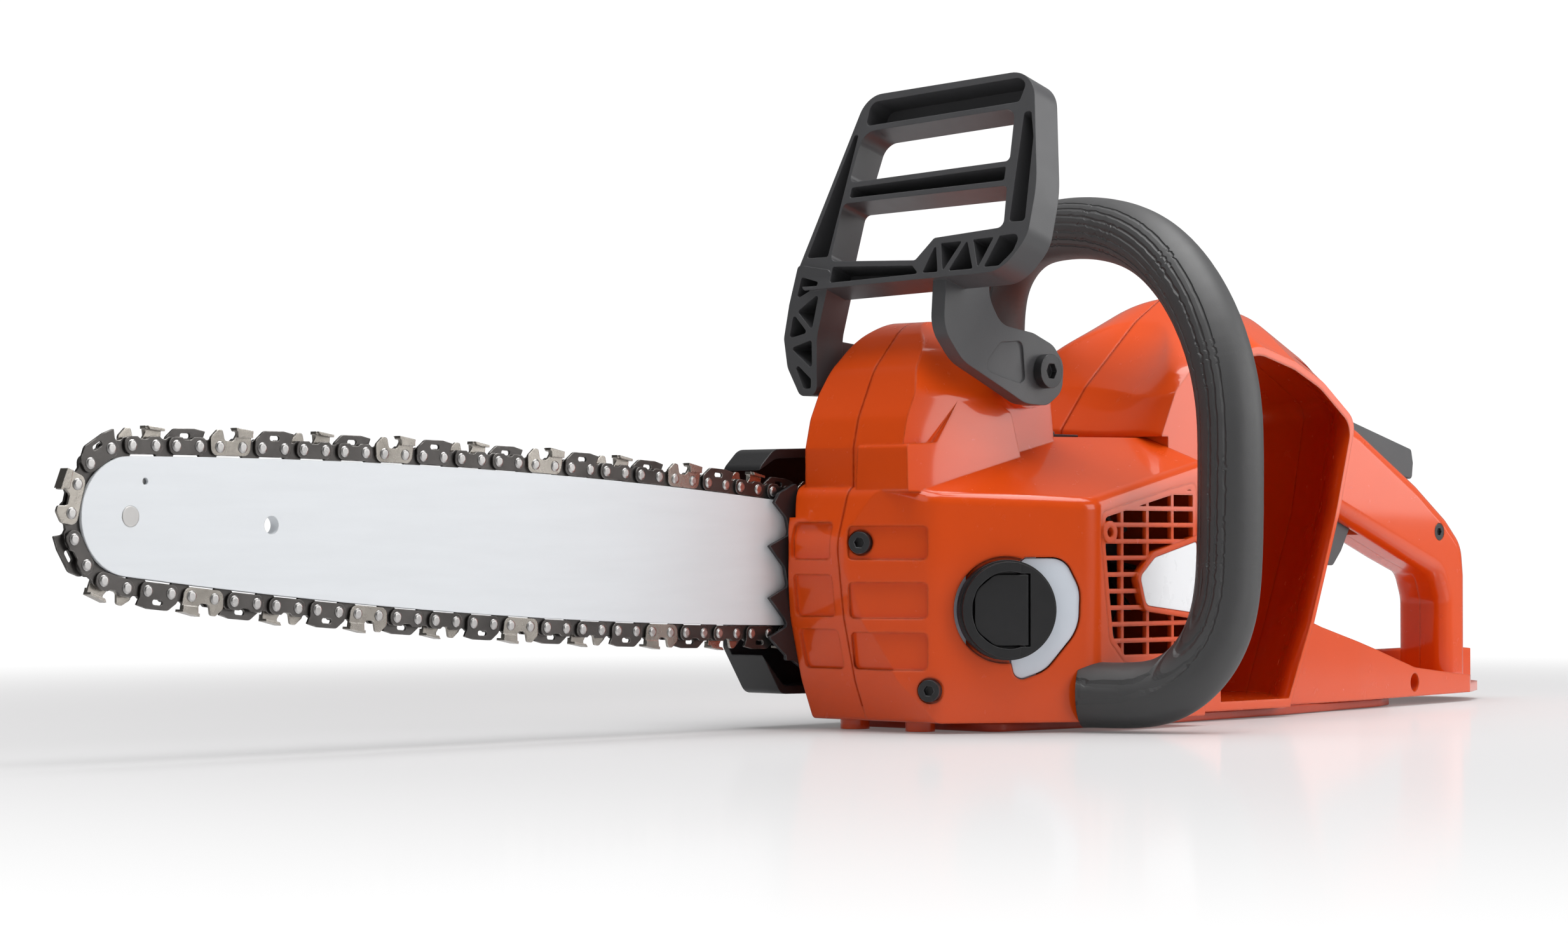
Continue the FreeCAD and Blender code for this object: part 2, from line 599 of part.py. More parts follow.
def sprocket_and_brake():
    """Chain sprocket with its hub, and the brake drum behind it with the band around it."""
    teeth = int(dim("rim_teeth"))
    place = Placement(Vector(DRIVE_X, BAR_Y, DRIVE_Z), Rotation(Y, dim("bar_tilt")))
    outline = star(teeth, 9.0, 14.25, 3.0, 2.9, tang_angle(SPROCKET_A))
    plate("drive_sprocket", [outline], "Dims.sprocket_wide", place, [(0.0, 0.0, "shaft_r")])
    drum_r = dim("drum_r")
    y0, y1 = 19.5, 19.5 + dim("drum_wide")
    turned("brake_drum", [(5.0, y1 - 3.0), (drum_r - 3.0, y1 - 3.0), (drum_r - 3.0, y0), (drum_r, y0, 0.4),
                          (drum_r, y1, 1.0), (9.0, y1), (9.0, BAR_Y - 4.0), (5.0, BAR_Y - 4.0)],
           DRIVE_X, DRIVE_Z)
    band = tube(DRIVE_X, y0 + 0.5, y1 - 1.0, DRIVE_Z, drum_r + 0.4 + dim("band_thick"), drum_r + 0.4)
    opening = box(DRIVE_X - 10, DRIVE_X + 6, y0, y1, DRIVE_Z + 20, DRIVE_Z + 40)
    ear = box(DRIVE_X + 6, DRIVE_X + 7.2, y0 + 0.5, y1 - 1.0, DRIVE_Z + 29.6, DRIVE_Z + 32.8)
    feature("brake_band", fused([band.cut(opening), ear.cut(rod(DRIVE_X, 0, 40, DRIVE_Z, drum_r + 0.4))]))


def coil(radius, wire_r, pitch, turns, start, direction):
    """Compression spring as one swept wire."""
    helix = Part.makeHelix(pitch, pitch * turns, radius)
    ring = Part.Wire(Part.makeCircle(wire_r, Vector(radius, 0, 0), Y))
    spring = helix.makePipeShell([ring], True, True)
    spring.Placement = Placement(start, Rotation(Z, direction))
    return spring


# ---------------------------------------------------------------- motor casing

LEFT_Y = dim("left_y")
RIGHT_Y = dim("right_y")


def casing_block(inset):
    """Main block of the motor casing, shrunk by inset: plan, side profile and sloped top."""
    left, right, rear = LEFT_Y + inset, RIGHT_Y - inset, -47 - inset
    plan = [(-194 + inset, right, 5), (-194 + inset, SPLIT, 14), (-177 + inset * 0.9, -31 + inset * 0.4, 16),
            (-122 + inset * 0.4, left, 16), (rear, left), (rear, right)]
    deck = dim("deck_z") - inset
    profile = [(-176 + inset, 4 + inset, 3), (-183 + inset, 20, 20), (-190 + inset, 46, 30),
               (-194 + inset, 75, 20), (-187 + inset, 97 - inset * 0.3, 8),
               (-178 + inset, 101 - inset * 0.5, 4), (-178 + inset, deck, 2), (-47 - inset, deck, 1),
               (-47 - inset, 4 + inset, 1)]
    lid = Part.makeBox(400, 400, 80, Vector(-200, -200, 0))
    slope = Rotation(Z, Vector(-0.2, -0.345, 0.93))
    lid.Placement = Placement(Vector(-88, -22, 117.5 - inset), slope)
    soft_plan = [(-194 + inset, right, 12)] + plan[1:]
    block = rounded_lid(slab(soft_plan, 2 + inset, 160).cut(lid), rear, 6.0 - inset)
    block = fused([block, slab(plan, 2 + inset, 86)])
    return block.common(side_slab(profile, LEFT_Y - 1, RIGHT_Y + 1))


def rounded_lid(block, rear, radius):
    """Block with the edges of its sloped top rounded, all but the rear one."""
    top = max(block.Faces, key=lambda face: face.BoundBox.ZMin)
    edges = [edge for edge in top.Edges if edge.BoundBox.XMin < rear - 0.5]
    return block.makeFillet(radius, edges)


def casing_dome(inset):
    """Dome over the brake and the guard's pivot, shrunk by inset."""
    profile = [(-184 + inset, 96, 2), (-184 + inset, 114, 3), (-181 + inset, 126, 14),
               (-171 + inset, 146, 22), (-152 + inset * 0.6, 166 - inset, 20),
               (-112 - inset * 0.5, 167 - inset, 22), (-90 - inset, 138, 16), (-84 - inset, 96, 2)]
    across = [(-21 + inset, 96, 1), (-21 + inset, 136, 10), (-13 + inset, 157, 16), (1, 168 - inset, 12),
              (14, 168 - inset, 12), (26 - inset, 158, 14), (31 - inset, 136, 10), (31 - inset, 96, 1)]
    return side_slab(profile, -40, 50).common(end_slab(across, -200, -60))


def casing_ridge():
    """Faceted shoulder on the dome's left face."""
    facet = [(-186, 96, 1), (-185, 115, 2), (-166, 116, 2), (-146, 137, 3), (-132, 138, 3), (-116, 129, 2),
             (-112, 96, 1)]
    across = [(-25.5, 96), (-24.5, 112), (-20, 139), (2, 139), (2, 96)]
    return side_slab(facet, -30, 4).common(end_slab(across, -200, -60))


def motor_casing():
    """Whole motor casing before it is split: shell, recess for the drum, bosses and openings."""
    outer = fused([casing_block(0.0), casing_dome(0.0), casing_ridge(), pivot_bosses()])
    feet = [Part.makeCylinder(6, 8, Vector(-166, 20, 0)), Part.makeCylinder(6, 8, Vector(-165, -14, 0))]
    inner = fused([casing_block(WALL), casing_dome(WALL)])
    bosses = [face_disc(RIB_FRAME, u, v, 7.4, SCREW_SEAT_W - 2.4, 4).common(outer) for u, v in CASING_SCREWS]
    shell = fused([outer.cut(inner)] + [foot.cut(inner) for foot in feet] + bosses)
    recess_wall = rod(DRIVE_X, 14.4, RIGHT_Y, DRIVE_Z, 36.6)
    pad = side_slab([(-188, 47, 4), (-124, 47, 4), (-124, 84, 4), (-188, 84, 4)], 27.5, 36.2)
    solid = fused([shell, recess_wall.common(fused([outer, box(-140, -50, 10, 34, 10, 110)])), pad])
    cuts = [rod(DRIVE_X, 17.0, RIGHT_Y + 5, DRIVE_Z, 34.0), rod(DRIVE_X, 10.0, 20.0, DRIVE_Z, 8.0),
            rod(dim("guard_x"), -60, 60, dim("guard_z"), 4.3)]
    for a in STUD_A:
        stud = BAR_FRAME.multVec(Vector(a, 0, 0))
        cuts.append(rod(stud.x, 25, 40, stud.z, dim("stud_r")))
    oil_way = Part.makeCylinder(2.1, 20, Vector(-150, 28.6, 44), Z)
    cuts += [oil_way, box(-152.1, -147.9, 26, 28.6, 44, 64), rod(-150, 28.6, 40, 57, 1.2)]
    cuts += [face_disc(RIB_FRAME, u, v, SCREW_SEAT_R, SCREW_SEAT_W, 8) for u, v in CASING_SCREWS]
    return solid.cut(Part.makeCompound(cuts))


def seam_groove(outer, inner):
    """Shallow groove along the split plane, between an outer shape and the same shape inset."""
    return outer.common(box(-300, 400, SPLIT - 0.4, SPLIT + 0.4, 10, 400)).cut(inner)


def pivot_bosses():
    """Round bosses under the hand guard's two arms."""
    x, z = dim("guard_x"), dim("guard_z")
    return fused([rod(x, -26.5, 4, z, 15.0), rod(x, 2, 33.5, z, 15.0)])


def face_frame(centre, outward):
    """Placement whose +Z is a wall's outward normal and whose +Y stays upright."""
    return Placement(centre, Rotation(Z.cross(outward), Z, outward, "ZXY"))


CAP_OUT = Vector(-math.sin(math.radians(36)), -math.cos(math.radians(36)), 0)
CAP_FACE = Vector(-152.0, -47.4, 49.0)
CAP_FRAME = face_frame(CAP_FACE, CAP_OUT)
RIB_OUT = Vector(-math.cos(math.radians(23)), -math.sin(math.radians(23)), 0)
RIB_FRAME = face_frame(Vector(-184.3, -13.0, 60.0), RIB_OUT)
CASING_SCREWS = ((-11, 15.8), (18, -43.0))
SCREW_SEAT_R = 5.2
SCREW_SEAT_W = -2.0
GRILLE_OUTLINE = [(-117, 88, 3), (-117, 74, 2), (-112, 36, 6), (-102, 27, 6), (-53, 25, 3), (-53, 101, 3),
                  (-70, 98, 8)]


def on_face(frame, points, low, high):
    """Outline drawn on a wall, from low to high along its outward normal."""
    solid = slab(points, low, high)
    solid.Placement = frame.multiply(solid.Placement)
    return solid


def face_disc(frame, u, v, radius, low, high):
    """Disc on a wall."""
    solid = Part.makeCylinder(radius, high - low, Vector(u, v, low))
    solid.Placement = frame.multiply(solid.Placement)
    return solid


def oval(u0, u1, v0, v1, radius):
    """Rounded rectangle as an outline."""
    return [(u0, v0, radius), (u1, v0, radius), (u1, v1, radius), (u0, v1, radius)]


def casing_openings():
    """Recesses and openings of the motor casing's front and left side."""
    skin = casing_block(0.0).cut(casing_block(1.7))
    whole = fused([casing_block(0.0), casing_dome(0.0)])
    cuts = [seam_groove(whole, fused([casing_block(0.8), casing_dome(0.8)]))]
    for v0, v1 in ((9, 22.5), (-14.5, 0), (-35, -20)):
        cuts.append(on_face(RIB_FRAME, oval(-16, 17, v0, v1, 2.0), -16, 12).common(skin))
    for z0, z1 in ((69, 84), (46, 63), (25, 41)):
        strip = end_slab([(9.5, z0, 2), (30.5, z0, 2), (30.5, z1, 2), (9.5, z1, 2)], -200, -170)
        cuts.append(strip.common(skin))
    window = [(0, 14, 2), (8, 21, 2), (25, 21, 9), (31.5, 8, 14), (31, -8, 18), (17, -24.5, 14), (4, -29, 4),
              (1, -16, 2)]
    cuts.append(on_face(CAP_FRAME, window, -5.0, 8))
    cuts.append(face_disc(CAP_FRAME, 0, 0, 21.4, -1.2, 8))
    cuts.append(face_disc(CAP_FRAME, 0, 0, 16.4, -8, 1))
    cuts.append(side_slab(GRILLE_OUTLINE, LEFT_Y - 1, LEFT_Y + WALL + 1))
    return cuts


# ---------------------------------------------------------------- rear casing: hood, bay, handle

HOOD_SECTIONS = [
    (-50.0, [(-46.5, 4), (-51, 121), (-41, 140), (-28, 151), (20, 161), (47, 155), (68, 147), (94, 130),
             (81, 90), (60, 39), (42, 4)]),
    (-30.0, [(-46.5, 4), (-50, 123), (-40, 138), (-18, 160), (20, 176), (50, 171), (80, 158), (112, 139),
             (100, 90), (79, 39), (60, 4)]),
    (5.0, [(-46.5, 4), (-49, 124), (-32, 143), (4, 173), (26, 186), (56, 180), (95, 163), (140, 141),
           (128, 90), (106, 39), (90, 4)]),
    (30.0, [(-46.5, 4), (-50, 123), (-38, 140), (-14, 163), (22, 177), (50, 172), (85, 158), (130, 138),
            (120, 90), (100, 39), (86, 4)]),
    (44.0, [(-46.5, 4), (-48, 112), (-44, 130), (-26, 146), (22, 160), (50, 155), (80, 145), (116, 130),
            (108, 90), (90, 39), (76, 4)]),
]
HOOD_ROUND = (1.0, 3.0, 9.0, 24.0, 22.0, 16.0, 30.0, 9.0, 20.0, 14.0, 1.0)


def hood(inset, y_low, y_high):
    """Body of the rear casing lofted through its rounded sections; inset shrinks it evenly."""
    centre_x, centre_z = 22.0, 84.0
    scale = 1.0 - inset / 66.0
    wires = []
    for y, points in HOOD_SECTIONS:
        ring = wire_of([(centre_x + (px - centre_x) * scale, centre_z + (pz - centre_z) * scale, radius)
                        for (px, pz), radius in zip(points, HOOD_ROUND)])
        ring.Placement = Placement(Vector(0, min(max(y, y_low), y_high), 0), Rotation()).multiply(STAND)
        wires.append(ring)
    return Part.makeLoft(wires, True, False)


GRIP = [(112, 147, 10), (161, 129, 30), (210, 104, 40), (236, 88, 24), (250, 76, 18), (252, 60, 20),
        (252, 6, 2), (231, 6, 2), (231, 48, 10), (226, 60, 10), (201, 68, 30), (158, 83, 12),
        (131, 92, 8), (112, 92, 2)]


def grip(inset):
    """Rear grip and its post, shrunk by inset."""
    half = dim("handle_half") - 2.5
    face = Part.Face(wire_of(GRIP))
    if inset:
        face = Part.Face(face.OuterWire.makeOffset2D(-inset))
    solid = face.extrude(Vector(0, 0, 2 * (half - inset)))
    solid.translate(Vector(0, 0, -SPLIT - half + inset))
    solid.Placement = STAND.multiply(solid.Placement)
    if inset:
        return solid
    rim = [edge for edge in solid.Edges if abs(edge.BoundBox.YLength) < 1e-6 and edge.BoundBox.ZMax > 8]
    return solid.makeFillet(7.5, rim)


def rear_flange():
    """Base flange under the rear grip: floor, two lips and the end lug."""
    plan = [(50, -38, 4), (120, -34, 40), (180, -27, 20), (236, -20, 6), (262, -8, 8), (270, 2, 4),
            (270, 24, 6), (256, 32, 8), (180, 38, 20), (50, 40, 4)]
    floor = slab(plan, 4.0, 8.5)
    near = side_slab([(50, 4), (50, 48, 4), (87, 38, 30), (136, 27, 40), (176, 17.5, 30), (203, 15, 20),
                      (240, 12, 2), (246, 4, 1)], -40, -19)
    far = side_slab([(50, 4), (50, 50, 4), (110, 38, 20), (150, 28, 30), (190, 23, 10), (262, 24, 2),
                     (272, 4)], 29, 42)
    walls = fused([near, far]).common(slab(plan, 4.0, 60))
    inner = slab([(60, -32, 4), (120, -28.5, 40), (180, -21, 20), (236, -14, 6), (256, -4, 6), (256, 24, 4),
                  (180, 34, 20), (60, 36, 4)], 8.5, 70)
    lug = side_slab([(240, 4), (240, 20, 4), (256, 25, 4), (270, 24, 3), (271, 4)], 0,
                    20).common(slab(plan, 0, 60))
    return fused([floor, walls.cut(inner), lug])


LANYARD = Vector(176.0, -24.0, 10.5)
LANYARD_R = 4.3


def rear_casing():
    """Whole rear casing before it is split: hood shell with bay, controller space, grip, flange."""
    right = dim("rear_right_y")
    bay_y = dim("bay_y")
    outer = hood(0.0, bay_y, right)
    body = fused([outer, grip(0.0), rear_flange()])
    space = hood(3.2, bay_y - 2, right - WALL)
    bay = space.common(box(-9.5, 200, bay_y - 3, 37, 0, 250))
    front = space.common(box(-80, -12.5, bay_y + WALL, right - WALL, 12, 112))
    hollow = grip(3.2).cut(box(100, 134, -40, 40, 0, 200)).cut(box(220, 260, -40, 40, 0, 30))
    wide = dim("lockout_wide") / 2 + 0.35
    lockout_slot = side_slab([(141, 150), (141, 116), (213.6, 86), (213.6, 126)], SPLIT - wide, SPLIT + wide)
    narrow = dim("trigger_wide") / 2 + 0.35
    trigger_slot = box(135.0, 168.0, SPLIT - narrow, SPLIT + narrow, 70, 100)
    lanyard = rod(LANYARD.x, -50, -20.6, LANYARD.z, LANYARD_R)
    window = bay_window()
    ahead = box(-80, -46.7, -80, 60, 0, dim("deck_z") + 0.3)
    screw_seat = fused([rod(226, -12, -7.4, 81, 4.2), rod(226, -8, -5.2, 81, 2.1)])
    body = body.cut(Part.makeCompound([bay, front])).cut(hollow).cut(lockout_slot.fuse(trigger_slot))
    groove = seam_groove(outer, hood(0.8, bay_y - 1, right + 1))
    tab = side_slab([(77, 66, 1), (80.5, 65.5, 1), (84.5, 80, 1), (80.5, 81, 1)], bay_y - 1.4, bay_y + 2)
    return fused([body, tab]).cut(lanyard).cut(window).cut(ahead).cut(screw_seat).cut(groove)


def bay_window():
    """Three-sided opening high in the bay's rear wall."""
    return side_slab([(58, 158), (84, 152), (84, 141)], -46, -30)


def halves(solid, left_name, right_name):
    """Split a casing at the seam plane into two named mouldings."""
    left = solid.common(box(-300, 400, -200, SPLIT, -50, 400))
    right = solid.common(box(-300, 400, SPLIT, 200, -50, 400))
    for name, half in ((left_name, left), (right_name, right)):
        biggest = max(half.Solids, key=lambda one: one.Volume)
        feature(name, biggest)


# ---------------------------------------------------------------- front handle

LOOP_POINTS = [(-120, -62, 14.6), (-112.5, -79, 14.6), (-105.5, -92.5, 17.2), (-98, -103, 27),
               (-92, -108.8, 42), (-88.4, -111, 68), (-88, -111.5, 105), (-86, -109, 132),
               (-82.5, -100, 157), (-77, -84, 179), (-68.5, -60, 197), (-57, -28, 207.5), (-45, 8, 210.5),
               (-36, 36, 205.5), (-30.5, 53, 191), (-28, 58.8, 166), (-28, 58.8, 132)]


def loop_sweep(radius):
    """Round bar along the front handle's path."""
    path = Part.BSplineCurve()
    path.interpolate([Vector(*point) for point in LOOP_POINTS])
    start = path.value(path.FirstParameter)
    ring = Part.Wire(Part.makeCircle(radius, start, path.tangent(path.FirstParameter)[0]))
    return Part.Wire(path.toShape()).makePipeShell([ring], True, False)


def front_handle():
    """Handle tube with its rubber grip over it."""
    core = loop_sweep(dim("loop_core_r"))
    skin = loop_sweep(dim("loop_r")).cut(core)
    keep_out = fused([casing_block(0.0), box(-60, 10, 30, 44.0, 60, 160)])
    foot = side_slab([(-38, 96, 6), (-18, 96, 6), (-18, 134, 2), (-38, 134, 2)], 44.0, 52.0)
    holes = [rod(-28, 40, 60, z, 2.5) for z in (103, 117)]
    core = fused([core, foot]).cut(Part.makeCompound(holes))
    return core.cut(keep_out), skin.cut(keep_out).cut(foot)

# ---------------------------------------------------------------- hand guard (chain brake)

GUARD_LEAN = math.radians(15.8)
GUARD_FRAME = Placement(Vector(-173, -12, 188),
                        Rotation(Y, Vector(math.sin(GUARD_LEAN), 0, math.cos(GUARD_LEAN)), Vector(), "XYZ"))
GUARD_OUTLINE = [(57, 0, 3), (37, 75, 11), (-50, 79, 14), (-62, 30, 60), (-62, 8, 14), (-52, -6, 16),
                 (-16, -7, 2), (52, -9, 2)]
GUARD_WINDOWS = [
    [(35, 59, 7), (-44, 63, 5), (-46, 40.5, 2), (38, 37, 3)],
    [(39, 28, 3), (-47, 30, 2), (-49, 12.5, 3), (-14, 10, 2), (-6, 1, 2), (40, 3, 3)],
]
GUARD_POCKETS = [
    [(34.5, 61.5, 2), (-45.5, 65.5, 2), (-47.5, 73.5, 4), (-43, 76, 4), (34, 72, 4)],
    [(41.8, 5, 1), (53.3, 5, 1), (39.8, 58, 1), (37.6, 58, 1)],
    [(-49, 61, 1.5), (-51.4, 14.5, 1.5), (-59.3, 14.5, 1.5), (-56, 50, 8), (-52.6, 61, 1.5)],
    [(36, 30.2, 1), (-45, 32.3, 1), (-44.6, 38.2, 1), (35.8, 34.8, 1)],
    [(38, -6.4, 1), (38, 0.6, 1), (-5, -1.2, 0.6), (-9, -4.8, 0.6)],
    [(-11, -4.6, 0.6), (-15.5, 7.4, 0.6), (-19, -4.6, 0.6)],
    [(-21.5, -4.5, 0.6), (-18, 7.6, 0.6), (-29, 7.9, 0.6)],
    [(-24.5, -4.4, 0.6), (-31.5, 8, 0.6), (-37, -4.2, 0.6)],
    [(-39.5, -4, 0.6), (-34.5, 8.2, 0.6), (-45, 8.6, 0.6)],
    [(-42.5, -3.8, 0.6), (-48, 9, 0.6), (-58.5, 9.5, 3), (-56, 2, 6), (-50, -3.6, 2)],
]


def guard_piece(points, low, high):
    """Outline in the guard's own plane, from low to high behind its front rim."""
    solid = slab(points, low, high)
    solid.Placement = GUARD_FRAME.multiply(solid.Placement)
    return solid


def hand_guard():
    """Guard frame with open channels, its right leg and both arms."""
    depth = dim("guard_depth")
    frame = guard_piece(GUARD_OUTLINE, 0, depth)
    for window in GUARD_WINDOWS:
        frame = frame.cut(guard_piece(window, -1, depth + 1))
    x, z = dim("guard_x"), dim("guard_z")
    near_arm = side_slab([(-172, 186), (-146, 186), (-145, 174, 12), (-138, 164, 12), (-117, 161.5, 16),
                          (-104, 157, 10), (x + 13, z + 4, 8), (x + 12, z - 8, 8), (x + 2, z - 14, 10),
                          (-122, 132.5, 16), (-138, 139, 24), (-162, 148.5, 20),
                          (-174, 161, 14)], -34.0, -27.2)
    recess = side_slab([(-150, 146, 3), (-138, 157, 3), (-124, 158, 3), (-122, 140, 3), (-138, 143, 6)],
                       -35, -33.2)
    leg = end_slab([(44, 190, 2), (26, 187, 2), (33.8, 160, 20), (33.8, 136, 4), (43, 136, 4), (50, 148, 8),
                    (52, 160, 6), (49, 174, 6)], -174, -158)
    leg_cut = fused([end_slab([(30.5, 182, 1), (42, 185, 1), (45, 176, 1)], -175, -162),
                     end_slab([(32.5, 178, 1), (44.4, 171, 1), (36.5, 163, 1)], -175, -162),
                     end_slab([(38.8, 162, 1), (46.6, 170, 1), (49, 160, 1)], -175, -162),
                     end_slab([(36.6, 159, 1), (48.2, 156, 1), (36.4, 147, 1)], -175, -162),
                     end_slab([(37, 143, 1), (47, 151, 1), (41, 139, 1), (37, 139, 1)], -175, -162)])
    far_arm = side_slab([(-173, 160, 2), (-150, 158, 8), (-124, 160, 12), (x + 12, z + 9, 9),
                         (x + 14, z - 4, 9), (x + 4, z - 13, 9), (-124, 134, 12), (-150, 136, 6),
                         (-173, 138, 2)], 34.2, 40.0)
    guard = fused([frame, near_arm, leg, far_arm]).cut(recess).cut(leg_cut)
    for points in GUARD_POCKETS:
        guard = guard.cut(guard_piece(points, -1, depth - 3.0))
    feature("hand_guard", guard.cut(rod(x, -40, 50, z, 4.0)))


def guard_pivot():
    """Pivot shaft that turns with the guard, its brake cam and the bolt at each end."""
    x, z = dim("guard_x"), dim("guard_z")
    shaft = rod(x, -34.0, 40.0, z, 4.0)
    cam = side_slab([(x - 8, z), (x + 8, z), (x + 5, z - 21, 3), (x - 3, z - 21, 3)], 10, 16)
    feature("guard_shaft", fused([shaft, cam.fuse(rod(x, 10, 16, z, 8.0))]))
    left = hex_socket(Vector(x, -38.0, z), Y, dim("bolt_head_r"), 4.0, 3.0, 0.01)
    right = hex_socket(Vector(x, 44.0, z), Y * -1, dim("bolt_head_r"), 4.0, 3.0, 0.01)
    group("guard_pivot_bolts", [left, right])
    spring = coil(4.0, 0.9, 3.0, 9, Vector(x - 44, 22, z - 18), X)
    feature("brake_spring", spring)


# ---------------------------------------------------------------- oil system

def oil_tank():
    """Blow-moulded tank behind the casing's front, with its window pane and filler neck."""
    outer = casing_block(WALL + 0.6).common(box(-200, -139.5, -60, 26, 8, 94))
    inner = casing_block(WALL + 2.4).common(box(-200, -141.5, -60, 24, 10, 92))
    window = [(0.5, 13.5, 2), (8.4, 20.5, 2), (24.6, 20.5, 8.6), (31, 8, 13.5), (30.5, -7.6, 17.5),
              (16.8, -24, 13.5), (4.5, -28.4, 3.6), (1.6, -16, 2)]
    pane = on_face(CAP_FRAME, window, -6.0, -1.0)
    neck = face_disc(CAP_FRAME, 0, 0, 15.8, -9.0, -1.0)
    bore = face_disc(CAP_FRAME, 0, 0, 13.2, -12.0, 0.0)
    clear_of = rod(DRIVE_X, -50, 30, DRIVE_Z, 42.6)
    near_bosses = [face_disc(RIB_FRAME, u, v, 9.6, SCREW_SEAT_W - 4.8, 8) for u, v in CASING_SCREWS]
    at_bosses = [face_disc(RIB_FRAME, u, v, 7.8, SCREW_SEAT_W - 3.0, 8) for u, v in CASING_SCREWS]
    inner = inner.cut(Part.makeCompound(near_bosses))
    tank = fused([outer, pane, neck]).cut(inner).cut(clear_of).cut(bore)
    tank = tank.cut(Part.makeCompound(at_bosses))
    feature("oil_tank", max(tank.Solids, key=lambda one: one.Volume))


HINGE_U = 6.4


def oil_cap():
    """Filler cap with its raised C-ring and panel, the gasket under it and the flip lever."""
    cap_r = dim("cap_r")
    plug = face_disc(CAP_FRAME, 0, 0, 13.0, -8.0, 0.3)
    disc = face_disc(CAP_FRAME, 0, 0, cap_r, 0.3, 4.4)
    open_side = [(4.6, -30), (40, -30), (40, 30), (4.6, 30)]
    ring = face_disc(CAP_FRAME, 0, 0, cap_r - 0.8, 4.4, 7.2).cut(face_disc(CAP_FRAME, 0, 0, 15.4, 4, 8))
    ring = ring.cut(on_face(CAP_FRAME, open_side, 4, 8))
    raised = face_disc(CAP_FRAME, 0, 0, cap_r - 0.8, 4.4, 6.0)
    raised = raised.common(on_face(CAP_FRAME, [(4.6, -30), (40, -30), (40, 30), (4.6, 30)], 4, 8))
    pit = on_face(CAP_FRAME, [(-14.4, -8, 8), (-6, -14.6, 6), (HINGE_U + 2.5, -14.6, 0.3),
                              (HINGE_U + 2.5, 14.6, 0.3), (-6, 14.6, 6), (-14.4, 8, 8)], 2.6, 8)
    trough = face_cylinder_v(CAP_FRAME, HINGE_U, -14.6, 14.6, 4.2, 2.5)
    axle_seat = face_cylinder_v(CAP_FRAME, HINGE_U, -15.9, 15.9, 4.2, 1.25)
    hollow = face_disc(CAP_FRAME, 0, 0, 10.5, -9.0, 1.2)
    cap = fused([disc, ring, raised, plug]).cut(pit).cut(trough).cut(hollow).cut(axle_seat)
    feature("oil_cap", cap)
    gasket = face_disc(CAP_FRAME, 0, 0, 15.8, -1.0, 0.3).cut(face_disc(CAP_FRAME, 0, 0, 13.05, -2, 1))
    feature("oil_cap_gasket", gasket)
    lever = on_face(CAP_FRAME, [(-13.9, -7.6, 7.6), (-5.8, -14.0, 5.6), (HINGE_U, -14.0, 0.2),
                                (HINGE_U, 14.0, 0.2), (-5.8, 14.0, 5.6), (-13.9, 7.6, 7.6)], 2.9, 6.0)
    knuckle = face_cylinder_v(CAP_FRAME, HINGE_U, -14.0, 14.0, 4.2, 2.2)
    knuckle = knuckle.common(on_face(CAP_FRAME, oval(HINGE_U - 4, HINGE_U + 4, -20, 20, 0.5), 2.0, 6.0))
    axle = face_cylinder_v(CAP_FRAME, HINGE_U, -15.7, 15.7, 4.2, 1.15)
    feature("oil_cap_lever", fused([lever, knuckle, axle]))


def oil_pump():
    """Pump body under the bar pad and the pipe that leads up to the pad's oil outlet."""
    pump = rod(-146, 26.6, 30.6, 40, 8.0).common(box(-160, -130, 20, 40, 20, 46))
    pipe = Part.makeCylinder(2.0, 18, Vector(-150, 28.6, 45.0), Z)
    body = fused([pump, box(-154, -143, 26.6, 30.6, 30, 46), pipe])
    feature("oil_pump", body.cut(Part.makeCylinder(1.2, 18, Vector(-150, 28.6, 46.0), Z)))


def face_cylinder_v(frame, u, v0, v1, w, radius):
    """Cylinder lying along a wall's upright direction."""
    solid = Part.makeCylinder(radius, v1 - v0, Vector(u, v0, w), Y)
    solid.Placement = frame.multiply(solid.Placement)
    return solid


# ---------------------------------------------------------------- bar mounting and right side

STUD_POINTS = [BAR_FRAME.multVec(Vector(a, 0, 0)) for a in STUD_A]


def stud_holes():
    """Clearance for both bar studs, as one shape along Y."""
    return Part.makeCompound([rod(at.x, 20, 80, at.z, dim("stud_r")) for at in STUD_POINTS])


def bar_fasteners():
    """Bar studs, their nuts and the guide plate behind the bar."""
    stud_r = dim("stud_r")
    group("bar_studs", [rod(at.x, 28.0, 70.0, at.z, stud_r) for at in STUD_POINTS])
    corners = [math.radians(60 * i) for i in range(6)]
    nuts = []
    for at in STUD_POINTS:
        hexagon = [(at.x + 7.5 * math.cos(angle), at.z + 7.5 * math.sin(angle)) for angle in corners]
        nuts.append(side_slab(hexagon, 60.0, 67.0).cut(rod(at.x, 50, 80, at.z, stud_r)))
    group("bar_nuts", nuts)
    guide = side_slab([(-186, 47, 3), (-126, 47, 3), (-126, 84, 3), (-186, 84, 3)], 36.3, 37.5)
    feature("bar_guide_plate", guide.cut(stud_holes()))


